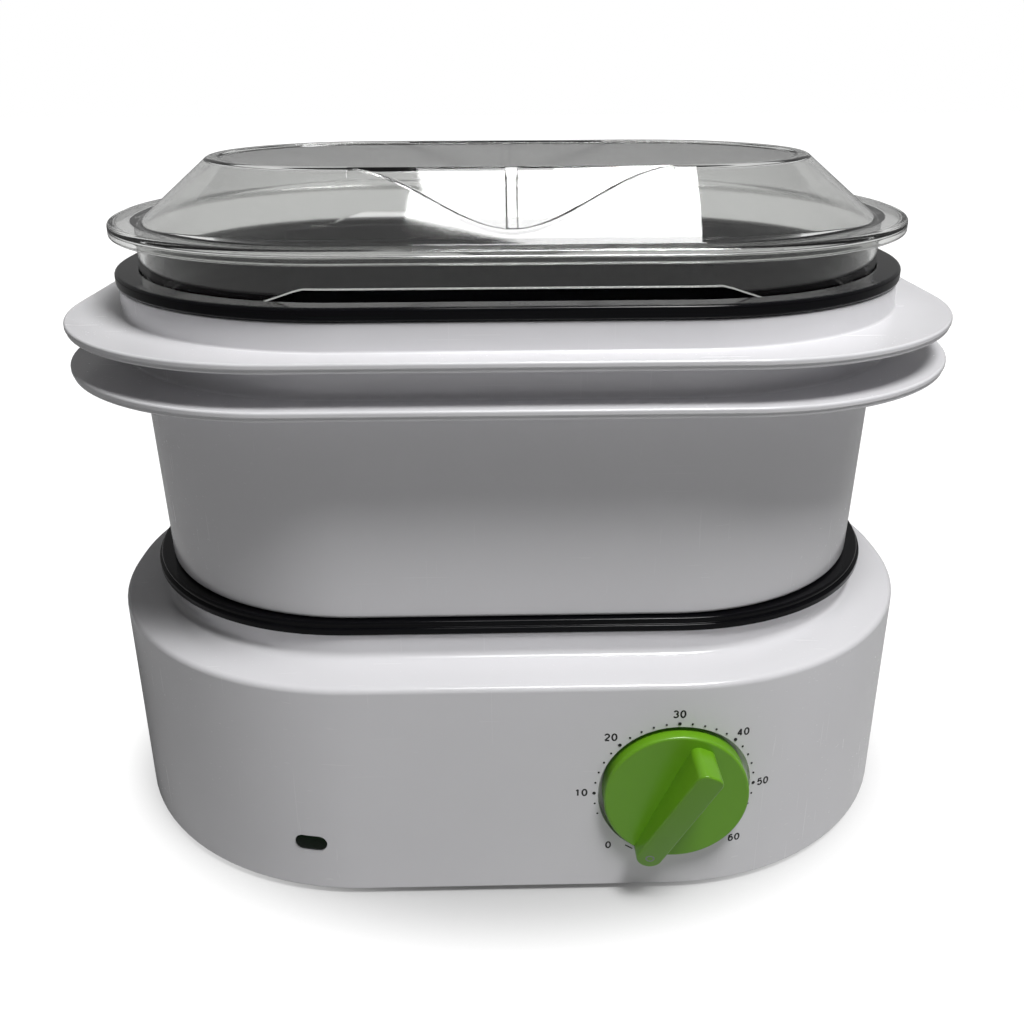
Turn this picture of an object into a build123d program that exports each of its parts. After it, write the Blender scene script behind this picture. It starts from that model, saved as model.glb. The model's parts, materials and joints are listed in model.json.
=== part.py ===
from build123d import *
import math
import os

# An electric food steamer, stacked for storage. Millimetres, +Z up, +Y to the back.
# Each outline of the stack lies a set distance, its offset, outside a core rectangle, and
# every core is centred on one upright axis. The origin lies on the table, in the middle of
# the object's box, which is a little in front of that axis because the knob stands out.

# ---- Core rectangle and shared fits ----
ORIGIN_Y = 9.7           # the stack's axis stands this far behind the origin
CORE_X = 63.5            # half length of the core rectangle of the base and the baskets
CORE_Y = 4.0             # half depth of that core
TOP_CORE = (62.0, 4.0)   # core of the collars, the insert and the lid
TRAY_CORE = (67.0, 4.0)  # core of the drip tray's rim
FLANGE_CORE = (82.0, 19.6)
SEAT_GAP = 0.3           # air between two pieces that lift apart
BED = 0.1                # air between two pieces that stay together
SCREW_CLEAR = 0.15       # radial air round a screw shank
SHAFT_CLEAR = 0.06       # radial running clearance of the timer shaft
MATCH = 0.05             # heights and reaches this close count as the same
FUSE = 1.0               # how far a solid runs into the one that it is fused with
CUT_PAST = 2.0           # how far a cutter runs past the wall that it pierces

# ---- Base housing ----
FOOT_HEIGHT = 2.5        # the housing's lower edge stands this far above the table
BASE_OFFSET = 117.0      # outline of the housing at its lower edge
SHOULDER_OFFSET = 116.5  # outline at the shoulder
SHOULDER_Z = 100.2
LEDGE_RISE = 2.1         # the ledge climbs this much towards the neck
NECK_OFFSET = 96.0
NECK_TOP_Z = 112.5
BASE_WALL = 2.8
NECK_WALL = 1.8
NECK_STEP = 1.3          # shelf inside the neck that carries the reservoir
SHOULDER_ROUND = 2.4
NECK_ROUND = 3.0
BOSS_R = 4.6             # screw bosses inside the housing
BOSS_OFFSET = 102.0
BOSS_ANGLE = 42.0        # from the long axis, about the core's corner

# ---- Bottom cover, feet and screws ----
COVER_Z = 4.6
COVER_THICK = 2.4
COVER_EDGE_GAP = 0.4
VENT_LENGTH = 26.0
VENT_WIDTH = 3.2
VENT_PITCH = 9.0
VENT_COUNT = 4           # slots beside each other at each end
FOOT_R = 9.0
FOOT_ROUND = 0.8
FOOT_STEM_R = 2.6
FOOT_STEM_PAST = 1.5     # the stem's end above the cover
FOOT_X = 118.0
FOOT_Y = 70.0
SCREW_R = 1.5
SCREW_HEAD_R = 3.2
SCREW_HEAD_H = 1.5
SCREW_DEPTH = 11.0
SCREW_END_GAP = 1.0      # air between a screw's end and its hole's

# ---- Water reservoir ----
TANK_WALL = 2.2
TANK_RIM_H = 2.0
TANK_DRAFT = 0.8
TANK_LOWER_OFFSET = 76.5
TANK_LOWER_DRAFT = 1.0
TANK_SHELF_Z = 84.0
TANK_FLOOR_Z = 44.0

# ---- Heater ----
PLATE_EDGE = 5.0         # the plate's edge beyond the circle of studs
PLATE_THICK = 1.6
PLATE_ROUND = 0.7
GASKET_THICK = 1.2
GASKET_SET_IN = 1.0      # the gasket's edge inside the plate's
STUD_RING_R = 42.0
STUD_LAND = 4.0          # the reservoir's floor between its hole and the circle of studs
STUD_R = 1.6
STUD_COUNT = 6
STUD_END = 1.5           # the stud's end past its nut
ELEMENT_RING_R = 28.0
ELEMENT_TUBE_R = 3.6
ELEMENT_SWEEP = 310.0
TERMINAL_LENGTH = 16.0
TERMINAL_R = 2.5
CLAMP_THICK = 2.0
NUT_R = 3.1
NUT_H = 2.6
THERMOSTAT_R = 9.0
THERMOSTAT_H = 7.5
THERMOSTAT_LIP = 3.0
THERMOSTAT_LIP_H = 1.2
BLADE_SIZE = (0.8, 5.0, 8.0)
BLADE_X = 4.5

# ---- Timer and knob ----
KNOB_X = 64.0
KNOB_Z = 49.9
RECESS_R = 31.2
RECESS_FLOOR_Y = -115.6
RECESS_WALL = 2.4
DISC_R = 30.0
DISC_FACE_Y = -125.6
DISC_WALL = 2.0
DISC_ROUND = 0.7
KNOB_REST = 156.5        # degrees anticlockwise of the top, where the pointer rests
GRIP_WIDTH = 10.6
GRIP_TAIL = 25.5         # grip's blunt end, from the knob's axis
GRIP_TIP = 36.0          # pointer's end, from the knob's axis
GRIP_TAIL_H = 17.0       # height above the disc at the blunt end
GRIP_TIP_H = 2.6         # height above the disc at the pointer's end
GRIP_UNDERCUT = 1.6      # air between the pointer's underside and the dial
GRIP_TAIL_ROUND = 3.4
GRIP_EDGE_ROUND = 0.6
DOT_R = 2.0
DOT_DEPTH = 0.8
DOT_FROM_TIP = 5.4
SHAFT_R = 3.0
SHAFT_FLAT = 1.0         # depth of the D flat
HUB_R = 6.0
HUB_BORE_PAST = 3.0      # the D bore's end beyond the disc's face
SHAFT_END_GAP = 0.4
SPRING_THICK = 0.4
SPRING_WIDTH = 3.4
SPRING_LENGTH = 9.0
SPRING_MIDDLE = 6.0      # from the disc's back
TIMER_WIDTH = 44.0
TIMER_DEPTH = 19.0
TIMER_PLATE = 1.6
TIMER_PLATE_EDGE = 2.0   # the front plate's edge beyond the case
TIMER_ROUND = 4.0
BELL_R = 15.0
BELL_H = 5.0
BELL_SHEET = 0.8
BELL_ROUND = 2.0
BELL_POST_R = 2.5
TIMER_SCREW_X = 15.0
TIMER_SCREW_DEPTH = 6.0
SHAFT_DEPTH = 12.0       # the shaft's end behind the timer's plate

# ---- Pilot lamp ----
LENS_ALONG = 84.8        # distance from the front centre, along the wall
LENS_Z = 25.7
LENS_WIDTH = 13.6
LENS_HEIGHT = 6.8
LENS_PROUD = 0.5
LENS_STEM = 0.6          # the lens's stem behind the wall, in front of its collar
LENS_BEZEL = 1.2
LENS_BEZEL_THICK = 1.2
LAMP_R = 2.4
LAMP_LENGTH = 12.0

# ---- Mains inlet ----
INLET_X = -40.0
INLET_Z = 22.0
BUSH_R = 6.2
BUSH_FLANGE_R = 8.6
BUSH_FLANGE = 1.8
CORD_HOLE_R = 3.4
BLOCK_SIZE = (34.0, 15.0, 12.0)
BLOCK_POLES = 3
BLOCK_HOLE_R = 2.4
BLOCK_INSET = 24.0       # block's middle, inward of the wall's inner face

# ---- Steam ring ----
STEAM_RING_R = 56.0
STEAM_RING_H = 26.0
STEAM_RING_WALL = 2.0
STEAM_RING_TAPER = 4.0
NOTCH_COUNT = 8
NOTCH_WIDTH = 9.0
NOTCH_HEIGHT = 7.0
STEAM_RING_LIP = 1.6     # the rolled lip's height and reach

# ---- Drip tray ----
TRAY_OFFSET = 97.0
TRAY_RIM_H = 5.2
TRAY_LIP_H = 2.8         # height of the wider lower lip of the rim
TRAY_STEP = 1.2          # the upper part of the rim is this much smaller
TRAY_WALL = 1.8
TRAY_BOWL_TOP_OFFSET = 90.0
TRAY_BOWL_LOW_OFFSET = 87.4
TRAY_FLOOR_Z = 90.0
CHIMNEY_OFFSET = 20.0
CHIMNEY_TOP_Z = 108.0
TRAY_ROUND = 1.0
TRAY_LIP_ROUND = 0.7

# ---- Baskets ----
BASKET_WALL = 2.2
BASKET_FLOOR = 2.2
BASKET_FOOT_ROUND = 1.2
FOOT_OFFSET = 93.6       # lower basket's wall at its foot
LOWER_TOP_OFFSET = 95.6  # lower basket's wall under its flange
UPPER_FOOT_OFFSET = 88.4
UPPER_TOP_OFFSET = 90.4
UPPER_FOOT_Z = 138.0
SPIGOT_DEPTH = 3.6       # the foot's tongue reaches this far down into the drip tray
SPIGOT_WALL = 1.8
SPIGOT_DRAFT = 0.3
LOWER_FLANGE_Z = 208.1   # underside of the lower flange
FLANGE_PITCH = 17.1      # lower flange to upper flange, nested
UPPER_COLLAR_H = 10.6
FLANGE_THICK = 3.9
FLANGE_OFFSET = 100.0
FLANGE_LIP = 2.2         # edge band that stands proud of the flange's underside
FLANGE_SEAT = 1.2        # flat underside beyond the collar that it rests on
FLANGE_ROUND = 1.4
FLANGE_UNDER_ROUND = 0.8
CREASE = 0.5             # groove round the flange's edge
COLLAR_OFFSET = 101.9    # outer face of the collar above a flange
SHELF_THICK = 2.4
SLOT_LENGTH = 15.0
SLOT_WIDTH = 3.2
SLOT_PITCH_X = 22.0
SLOT_PITCH_Y = 13.0
SLOT_MARGIN = 9.0

# ---- Food insert ----
INSERT_OFFSET = 102.7
INSERT_RIM_H = 4.9
INSERT_SEAT_OFFSET = 93.2    # outline of the seat that takes the lid's skirt
INSERT_SEAT_DROP = 2.4
INSERT_BORE_OFFSET = 89.6
INSERT_BOWL_OFFSET = 86.6    # outer face of the bowl, below the basket's shelf
INSERT_BOWL_LOW_OFFSET = 84.8
INSERT_FLOOR_Z = 193.0
INSERT_WALL = 2.2
INSERT_ROUND = 0.9

# ---- Lid ----
LID_WALL = 2.3
LID_FLANGE_OFFSET = 102.9
LID_FLANGE_RISE = 19.6       # top of the lid's flange above the insert's rim
LID_FLANGE_H = 5.5
DOME_RISE = 22.5             # top of the dome above the flange
DOME_FOOT_CORE = (62.0, 12.0)
DOME_FOOT_OFFSET = 87.8
DOME_TOP_CORE = (62.0, 1.0)
DOME_TOP_OFFSET = 62.6
LID_TOP_ROUND = 3.5
LID_FLANGE_ROUND = 1.6
SKIRT_OFFSET = 92.8
SKIRT_NOTCH_TOP = 150.0      # width of the raised stretch of the skirt's edge
SKIRT_NOTCH_FOOT = 184.0
SKIRT_NOTCH_H = 6.0
SCOOP_HALF_WIDTH = 60.0      # finger scoops in the long sides
SCOOP_LEAN = 38.0            # lean of the scoop's back face from the vertical, degrees
SCOOP_FOOT_RISE = 1.8        # lowest point of a scoop above the flange
SCOOP_FLOOR_SLOPE = 12.0     # slope of the scoop's floor, degrees
SCOOP_KNEE = (0.62, 0.34)    # bend of the scoop's curve, as shares of half width and depth
SCOOP_END_SLOPE = 0.12
SCOOP_RIB_WIDTH = 4.4
SCOOP_RIB_PROUD = 2.2
LID_VENT_WIDTH = 9.0
LID_VENT_HEIGHT = 2.4
LID_VENT_DROP = 6.0          # middle of the vents below the dome's top
LID_VENT_ANGLE = 18.0

# ---- Worked out from the above ----
base_z = FOOT_HEIGHT
neck_foot_z = SHOULDER_Z + LEDGE_RISE
neck_bore_offset = NECK_OFFSET - NECK_WALL
tank_rim_offset = neck_bore_offset - BED
tank_rim_top_z = NECK_TOP_Z - 1.5
tank_rim_z = tank_rim_top_z - TANK_RIM_H
tank_wall_offset = neck_bore_offset - NECK_STEP - BED
tank_floor_top_z = TANK_FLOOR_Z + TANK_WALL
gasket_top_z = tank_floor_top_z + GASKET_THICK
plate_top_z = gasket_top_z + PLATE_THICK
element_z = gasket_top_z - ELEMENT_TUBE_R
clamp_low_z = TANK_FLOOR_Z - CLAMP_THICK
plate_r = STUD_RING_R + PLATE_EDGE
heater_hole_r = STUD_RING_R - STUD_LAND
cover_top_z = COVER_Z + COVER_THICK
inner_offset = BASE_OFFSET - BASE_WALL
tray_rim_z = NECK_TOP_Z + SEAT_GAP
tray_rim_top_z = tray_rim_z + TRAY_RIM_H
lower_foot_z = tray_rim_top_z + SEAT_GAP
lower_flange_top_z = LOWER_FLANGE_Z + FLANGE_THICK
upper_flange_z = LOWER_FLANGE_Z + FLANGE_PITCH
upper_flange_top_z = upper_flange_z + FLANGE_THICK
lower_collar_h = FLANGE_PITCH - FLANGE_THICK - SEAT_GAP
insert_rim_z = upper_flange_top_z + UPPER_COLLAR_H + SEAT_GAP
insert_rim_top_z = insert_rim_z + INSERT_RIM_H
insert_seat_z = insert_rim_top_z - INSERT_SEAT_DROP
skirt_foot_z = insert_seat_z + SEAT_GAP
lid_flange_top_z = insert_rim_top_z + LID_FLANGE_RISE
lid_flange_low_z = lid_flange_top_z - LID_FLANGE_H
lid_top_z = lid_flange_top_z + DOME_RISE
dome_run = DOME_FOOT_CORE[1] + DOME_FOOT_OFFSET - DOME_TOP_CORE[1] - DOME_TOP_OFFSET
dome_slope = math.atan2(DOME_RISE, dome_run)
scoop_depth = (DOME_RISE - SCOOP_FOOT_RISE) / math.cos(math.radians(SCOOP_LEAN))
front_wall_y = -(CORE_Y + BASE_OFFSET)
disc_back_y = RECESS_FLOOR_Y - SEAT_GAP
timer_front_y = RECESS_FLOOR_Y + RECESS_WALL
timer_back_y = timer_front_y + TIMER_DEPTH


# ---- Shared shapes ----
CORE = (CORE_X, CORE_Y)
STEEP_DRAFT = 60         # a wall that leans further than this is lofted between its outlines


def outline(offset, z, core=CORE):
    """The face at height z whose edge lies `offset` outside a core rectangle."""
    half_x, half_y = core
    return Plane.XY.offset(z) * RectangleRounded(2 * (half_x + offset), 2 * (half_y + offset), offset)


def slab(z_low, offset_low, z_high, offset_high, core=CORE):
    """The solid between two outlines of one core. Its wall is drafted where they differ."""
    height = z_high - z_low
    taper = math.degrees(math.atan2(offset_low - offset_high, height))
    if abs(taper) > STEEP_DRAFT:
        return loft([outline(offset_low, z_low, core), outline(offset_high, z_high, core)], ruled=True)
    return extrude(outline(offset_low, z_low, core), amount=height, taper=taper)


def edges_at(solid, z):
    """The edges of a solid that lie at one height."""
    return solid.edges().filter_by_position(Axis.Z, z - MATCH, z + MATCH)


def round_outer(solid, z, radius):
    """Rounds the outermost loop of edges at one height."""
    loop = edges_at(solid, z)
    length = max(e.bounding_box().max.X for e in loop)
    depth = max(e.bounding_box().max.Y for e in loop)
    outer = []
    for edge in loop:
        box = edge.bounding_box()
        at_end = length - max(abs(box.min.X), abs(box.max.X)) < MATCH
        at_side = depth - max(abs(box.min.Y), abs(box.max.Y)) < MATCH
        if at_end or at_side:
            outer.append(edge)
    return fillet(outer, radius)


def post(x, y, z_low, z_high, radius):
    """An upright cylinder between two heights."""
    return Pos(x, y, z_low) * extrude(Circle(radius), amount=z_high - z_low)


def front_cylinder(y_front, y_back, radius, x=KNOB_X, z=KNOB_Z):
    """A cylinder along Y between two depths."""
    plane = Plane(origin=(x, y_back, z), x_dir=(1, 0, 0), z_dir=(0, -1, 0))
    return plane * extrude(Circle(radius), amount=y_back - y_front)


def corner_points(offset, angle):
    """Four points on one outline, at an angle about each corner of the core."""
    along = CORE_X + offset * math.cos(math.radians(angle))
    across = CORE_Y + offset * math.sin(math.radians(angle))
    return [(sx * along, sy * across) for sx in (-1, 1) for sy in (-1, 1)]


def wall_plane(along, z, offset):
    """A plane on the front wall, `along` millimetres left of its centre, facing out."""
    turn = (along - CORE_X) / offset
    x = -(CORE_X + offset * math.sin(turn))
    y = -(CORE_Y + offset * math.cos(turn))
    out = (-math.sin(turn), -math.cos(turn), 0)
    return Plane(origin=(x, y, z), x_dir=(math.cos(turn), -math.sin(turn), 0), z_dir=out)


# ---- Base ----
def base_housing():
    """Outer casing: drafted wall, sloping ledge, neck, dial recess, lamp slot and bosses."""
    body = slab(base_z, BASE_OFFSET, SHOULDER_Z, SHOULDER_OFFSET)
    body += slab(SHOULDER_Z, SHOULDER_OFFSET, neck_foot_z, NECK_OFFSET)
    body = round_outer(body, SHOULDER_Z, SHOULDER_ROUND)
    body += slab(neck_foot_z - FUSE, NECK_OFFSET, NECK_TOP_Z, NECK_OFFSET)
    ceiling_z = SHOULDER_Z - BASE_WALL
    body -= slab(base_z, inner_offset, ceiling_z, SHOULDER_OFFSET - BASE_WALL)
    body -= slab(ceiling_z, neck_bore_offset - NECK_STEP, tank_rim_z, neck_bore_offset - NECK_STEP)
    body -= slab(tank_rim_z, neck_bore_offset, NECK_TOP_Z, neck_bore_offset)
    for x, y in corner_points(BOSS_OFFSET, BOSS_ANGLE):
        body += post(x, y, cover_top_z, ceiling_z + FUSE, BOSS_R)
        body -= post(x, y, cover_top_z, cover_top_z + SCREW_DEPTH, SCREW_R + SCREW_CLEAR)
    pad = front_cylinder(front_wall_y, timer_front_y, RECESS_R + RECESS_WALL)
    body += pad & slab(base_z, BASE_OFFSET - FUSE, SHOULDER_Z, SHOULDER_OFFSET - FUSE)
    body -= front_cylinder(front_wall_y - CUT_PAST, RECESS_FLOOR_Y, RECESS_R)
    body -= front_cylinder(front_wall_y, timer_front_y, SHAFT_R + 2 * SHAFT_CLEAR)
    for side in (-1, 1):
        screw_x = KNOB_X + side * TIMER_SCREW_X
        body -= front_cylinder(front_wall_y, timer_front_y, SCREW_R + SCREW_CLEAR, x=screw_x)
    body -= lamp_prism(LENS_WIDTH + 2 * BED, LENS_HEIGHT + 2 * BED, BASE_WALL + CUT_PAST, CUT_PAST)
    inlet = Plane(origin=(INLET_X, -front_wall_y + CUT_PAST, INLET_Z), x_dir=(1, 0, 0), z_dir=(0, -1, 0))
    body -= inlet * extrude(Circle(BUSH_R + BED), amount=BASE_WALL + 2 * CUT_PAST)
    return body


def bottom_cover():
    """Plate that closes the housing, with vents, foot holes and screw holes."""
    edge = inner_offset - COVER_EDGE_GAP
    cover = slab(COVER_Z, edge, cover_top_z, edge)
    slot = extrude(SlotOverall(VENT_LENGTH, VENT_WIDTH, rotation=90), amount=COVER_THICK)
    for side in (-1, 1):
        for i in range(VENT_COUNT):
            x = side * CORE_X + VENT_PITCH * (i - (VENT_COUNT - 1) / 2)
            cover -= Pos(x, 0, COVER_Z) * slot
    for x, y in corner_points(BOSS_OFFSET, BOSS_ANGLE):
        cover -= post(x, y, COVER_Z, cover_top_z, SCREW_R + SCREW_CLEAR)
    for x, y in foot_points():
        cover -= post(x, y, COVER_Z, cover_top_z, FOOT_STEM_R + BED)
    return cover


def foot_points():
    """Where the four feet stand."""
    return [(sx * FOOT_X, sy * FOOT_Y) for sx in (-1, 1) for sy in (-1, 1)]


def rubber_feet():
    """Four pads with a stem that is pulled through the cover."""
    feet = []
    for x, y in foot_points():
        pad = post(x, y, 0, COVER_Z, FOOT_R)
        pad = fillet(edges_at(pad, 0), FOOT_ROUND)
        pad += post(x, y, COVER_Z, cover_top_z + FOOT_STEM_PAST, FOOT_STEM_R)
        feet.append(pad)
    return Compound(children=feet)


def cover_screws():
    """Four screws that hold the cover to the housing's bosses."""
    screws = []
    for x, y in corner_points(BOSS_OFFSET, BOSS_ANGLE):
        head = post(x, y, COVER_Z - SCREW_HEAD_H, COVER_Z, SCREW_HEAD_R)
        screws.append(head + post(x, y, COVER_Z, cover_top_z + SCREW_DEPTH - SCREW_END_GAP, SCREW_R))
    return Compound(children=screws)


def water_reservoir():
    """Basin hung in the neck by its rim, narrower below a shelf."""
    wall = TANK_WALL
    high = tank_wall_offset
    low = TANK_LOWER_OFFSET
    shelf_top_z = TANK_SHELF_Z + wall
    tank = slab(tank_rim_z, tank_rim_offset, tank_rim_top_z, tank_rim_offset)
    tank += slab(TANK_SHELF_Z, high - TANK_DRAFT, tank_rim_z, high)
    tank += slab(TANK_FLOOR_Z, low - TANK_LOWER_DRAFT, TANK_SHELF_Z + FUSE, low)
    tank -= slab(shelf_top_z, high - TANK_DRAFT - wall, tank_rim_top_z, high - wall)
    tank -= slab(tank_floor_top_z, low - TANK_LOWER_DRAFT - wall, shelf_top_z, low - wall)
    tank -= post(0, 0, TANK_FLOOR_Z, tank_floor_top_z, heater_hole_r)
    for x, y in stud_points():
        tank -= post(x, y, TANK_FLOOR_Z, tank_floor_top_z, STUD_R + SCREW_CLEAR)
    return tank


def stud_points():
    """The ring of studs that clamps the heater to the reservoir's floor."""
    turn = 2 * math.pi / STUD_COUNT
    return [(STUD_RING_R * math.cos(i * turn), STUD_RING_R * math.sin(i * turn)) for i in range(STUD_COUNT)]


def heater_plate():
    """Stainless disc under the water, with studs through gasket, floor and clamp."""
    plate = post(0, 0, gasket_top_z, plate_top_z, plate_r)
    plate = fillet(edges_at(plate, plate_top_z), PLATE_ROUND)
    for x, y in stud_points():
        plate += post(x, y, clamp_low_z - NUT_H - STUD_END, gasket_top_z, STUD_R)
    return plate


def heater_gasket():
    """Silicone ring between the plate and the reservoir's floor."""
    ring = post(0, 0, tank_floor_top_z, gasket_top_z, plate_r - GASKET_SET_IN)
    ring -= post(0, 0, tank_floor_top_z, gasket_top_z, heater_hole_r)
    for x, y in stud_points():
        ring -= post(x, y, tank_floor_top_z, gasket_top_z, STUD_R + SCREW_CLEAR)
    return ring


def heater_clamp():
    """Steel ring under the floor that spreads the nuts' load."""
    ring = post(0, 0, clamp_low_z, TANK_FLOOR_Z, plate_r)
    ring -= post(0, 0, clamp_low_z, TANK_FLOOR_Z, heater_hole_r)
    for x, y in stud_points():
        ring -= post(x, y, clamp_low_z, TANK_FLOOR_Z, STUD_R + SCREW_CLEAR)
    return ring


def heater_nuts():
    """Hexagon nuts on the studs."""
    nuts = []
    for x, y in stud_points():
        nut = Pos(x, y, clamp_low_z - NUT_H) * extrude(RegularPolygon(NUT_R, 6), amount=NUT_H)
        nuts.append(nut - post(x, y, clamp_low_z - NUT_H, clamp_low_z, STUD_R + SHAFT_CLEAR))
    return Compound(children=nuts)


def heating_element():
    """Sheathed ring brazed under the plate, its two ends turned down as terminals."""
    section = Plane.XZ * Pos(ELEMENT_RING_R, element_z) * Circle(ELEMENT_TUBE_R)
    ring = revolve(section, axis=Axis.Z, revolution_arc=ELEMENT_SWEEP)
    for angle in (0, ELEMENT_SWEEP):
        x = ELEMENT_RING_R * math.cos(math.radians(angle))
        y = ELEMENT_RING_R * math.sin(math.radians(angle))
        ring += Pos(x, y, element_z) * Sphere(ELEMENT_TUBE_R)
        ring += post(x, y, element_z - TERMINAL_LENGTH, element_z, TERMINAL_R)
    return ring


def thermostat():
    """Dry-boil cut-out under the middle of the plate, with two blade terminals."""
    low_z = gasket_top_z - THERMOSTAT_H
    body = post(0, 0, low_z, gasket_top_z, THERMOSTAT_R)
    body += post(0, 0, gasket_top_z - THERMOSTAT_LIP_H, gasket_top_z, THERMOSTAT_R + THERMOSTAT_LIP)
    for side in (-1, 1):
        body += Pos(side * BLADE_X, 0, low_z - BLADE_SIZE[2] / 2) * Box(*BLADE_SIZE)
    return body


def terminal_block():
    """Connector block on the bottom cover beside the mains inlet."""
    length, width, height = BLOCK_SIZE
    y = -front_wall_y - BASE_WALL - BLOCK_INSET
    block = Pos(INLET_X, y, cover_top_z + height / 2) * Box(length, width, height)
    for i in range(BLOCK_POLES):
        x = INLET_X + (i - (BLOCK_POLES - 1) / 2) * length / BLOCK_POLES
        block -= post(x, y, cover_top_z + height / 2, cover_top_z + height, BLOCK_HOLE_R)
    return block


def cord_bush():
    """Rubber bush that guides the mains lead through the back wall."""
    back_y = -front_wall_y + BED
    length = BASE_WALL + 2 * BUSH_FLANGE + 4 * BED
    plane = Plane(origin=(INLET_X, back_y + BUSH_FLANGE, INLET_Z), x_dir=(1, 0, 0), z_dir=(0, -1, 0))
    flange = extrude(Circle(BUSH_FLANGE_R), amount=BUSH_FLANGE)
    bush = extrude(Circle(BUSH_R), amount=length)
    bush += flange + Pos(0, 0, length - BUSH_FLANGE) * flange
    bush -= extrude(Circle(CORD_HOLE_R), amount=length)
    return plane * bush


# ---- Pilot lamp ----
def lamp_prism(width, height, inward, outward):
    """An oblong prism through the wall at the lamp, `inward` and `outward` of its face."""
    plane = wall_plane(LENS_ALONG, LENS_Z, BASE_OFFSET)
    return plane * Pos(0, 0, -inward) * extrude(SlotOverall(width, height), amount=inward + outward)


def pilot_lens():
    """Green oblong lens pushed through the wall, with a collar behind it."""
    stem = BASE_WALL + LENS_STEM
    back = stem + LENS_BEZEL_THICK
    lens = lamp_prism(LENS_WIDTH, LENS_HEIGHT, stem, LENS_PROUD)
    return lens + lamp_prism(LENS_WIDTH + 2 * LENS_BEZEL, LENS_HEIGHT + 2 * LENS_BEZEL, back, -stem)


def pilot_lamp():
    """Neon tube behind the lens, in its sleeve."""
    plane = wall_plane(LENS_ALONG, LENS_Z, BASE_OFFSET)
    start = BASE_WALL + LENS_STEM + LENS_BEZEL_THICK
    return plane * Pos(0, 0, -start - LAMP_LENGTH) * extrude(Circle(LAMP_R), amount=LAMP_LENGTH)


# ---- Timer and knob ----
def timer_case():
    """Closed clockwork case behind the dial, open only for its shaft and screws."""
    width = TIMER_WIDTH
    wide = TIMER_WIDTH + 2 * TIMER_PLATE_EDGE
    middle_y = timer_front_y + TIMER_DEPTH / 2
    case = Pos(KNOB_X, middle_y, KNOB_Z) * Box(width, TIMER_DEPTH - 2 * TIMER_PLATE, width)
    case = fillet(case.edges().filter_by(Axis.Y), TIMER_ROUND)
    case += Pos(KNOB_X, timer_front_y + TIMER_PLATE / 2, KNOB_Z) * Box(wide, TIMER_PLATE, wide)
    case += Pos(KNOB_X, timer_back_y - TIMER_PLATE / 2, KNOB_Z) * Box(width, TIMER_PLATE, width)
    case -= front_cylinder(timer_front_y, timer_back_y - TIMER_PLATE, SHAFT_R + SHAFT_CLEAR)
    for side in (-1, 1):
        screw_x = KNOB_X + side * TIMER_SCREW_X
        hole_end_y = timer_front_y + TIMER_SCREW_DEPTH + SCREW_END_GAP
        case -= front_cylinder(timer_front_y, hole_end_y, SCREW_R + SCREW_CLEAR, x=screw_x)
    return case


def timer_bell():
    """Pressed bell on the back of the clockwork."""
    bell = front_cylinder(timer_back_y, timer_back_y + BELL_H, BELL_R)
    bell = fillet(bell.edges().sort_by(Axis.Y)[-1], BELL_ROUND)
    bell -= front_cylinder(timer_back_y, timer_back_y + BELL_H - BELL_SHEET, BELL_R - BELL_SHEET)
    bell += front_cylinder(timer_back_y, timer_back_y + BELL_H, BELL_POST_R)
    return bell


def timer_screws():
    """Two screws through the recess floor into the clockwork's plate."""
    screws = []
    for side in (-1, 1):
        x = KNOB_X + side * TIMER_SCREW_X
        shank = front_cylinder(RECESS_FLOOR_Y, timer_front_y + TIMER_SCREW_DEPTH, SCREW_R, x=x)
        head = front_cylinder(RECESS_FLOOR_Y - SCREW_HEAD_H, RECESS_FLOOR_Y, SCREW_HEAD_R, x=x)
        screws.append(shank + head)
    return Compound(children=screws)


def knob_frame():
    """A plane on the knob's axis, +Y out along the pointer and +Z away from the wall."""
    turn = math.radians(KNOB_REST)
    side = (math.cos(turn), 0, math.sin(turn))
    return Plane(origin=(KNOB_X, disc_back_y, KNOB_Z), x_dir=side, z_dir=(0, -1, 0))


def d_prism(radius, flat_depth, low, high):
    """A D section along the knob's axis, between two heights above the disc's back."""
    plane = knob_frame()
    section = Circle(radius) - Pos(0, radius) * Rectangle(3 * radius, 2 * flat_depth)
    return plane * Pos(0, 0, low) * extrude(section, amount=high - low)


def grip():
    """The raised grip: blunt and tall at one end, sloping to a pointer past the disc."""
    plane = knob_frame()
    face = disc_back_y - DISC_FACE_Y
    low = disc_back_y - front_wall_y + GRIP_UNDERCUT
    top_tail = face + GRIP_TAIL_H
    top_tip = face + GRIP_TIP_H
    half = GRIP_WIDTH / 2
    plan = Pos(0, (GRIP_TIP - half - GRIP_TAIL) / 2) * Rectangle(GRIP_WIDTH, GRIP_TIP - half + GRIP_TAIL)
    bar = extrude(plan, amount=top_tail)
    blunt = bar.edges().filter_by(Axis.Z).sort_by(Axis.Y)[:2]
    bar = fillet(blunt, GRIP_TAIL_ROUND)
    bar += Pos(0, GRIP_TIP - half) * extrude(Circle(half), amount=top_tail)
    ends = ((-GRIP_TAIL, low), (GRIP_TIP, low), (GRIP_TIP, top_tip), (-GRIP_TAIL, top_tail))
    side = Plane.YZ * Polygon(*ends, align=None)
    bar = bar & extrude(side, amount=GRIP_WIDTH, both=True)
    slope = math.degrees(math.atan2(GRIP_TAIL_H - GRIP_TIP_H, GRIP_TAIL + GRIP_TIP))
    top = bar.faces().sort_by(Axis.Z)[-1]
    bar = fillet(top.outer_wire().edges(), GRIP_EDGE_ROUND)
    dot_y = GRIP_TIP - DOT_FROM_TIP
    dot_z = top_tip + (GRIP_TAIL_H - GRIP_TIP_H) * (GRIP_TIP - dot_y) / (GRIP_TAIL + GRIP_TIP)
    dot_place = Pos(0, dot_y, dot_z) * Rot(X=-slope) * Pos(0, 0, -DOT_DEPTH)
    bar -= dot_place * extrude(Circle(DOT_R), amount=CUT_PAST)
    return plane * bar


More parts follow.
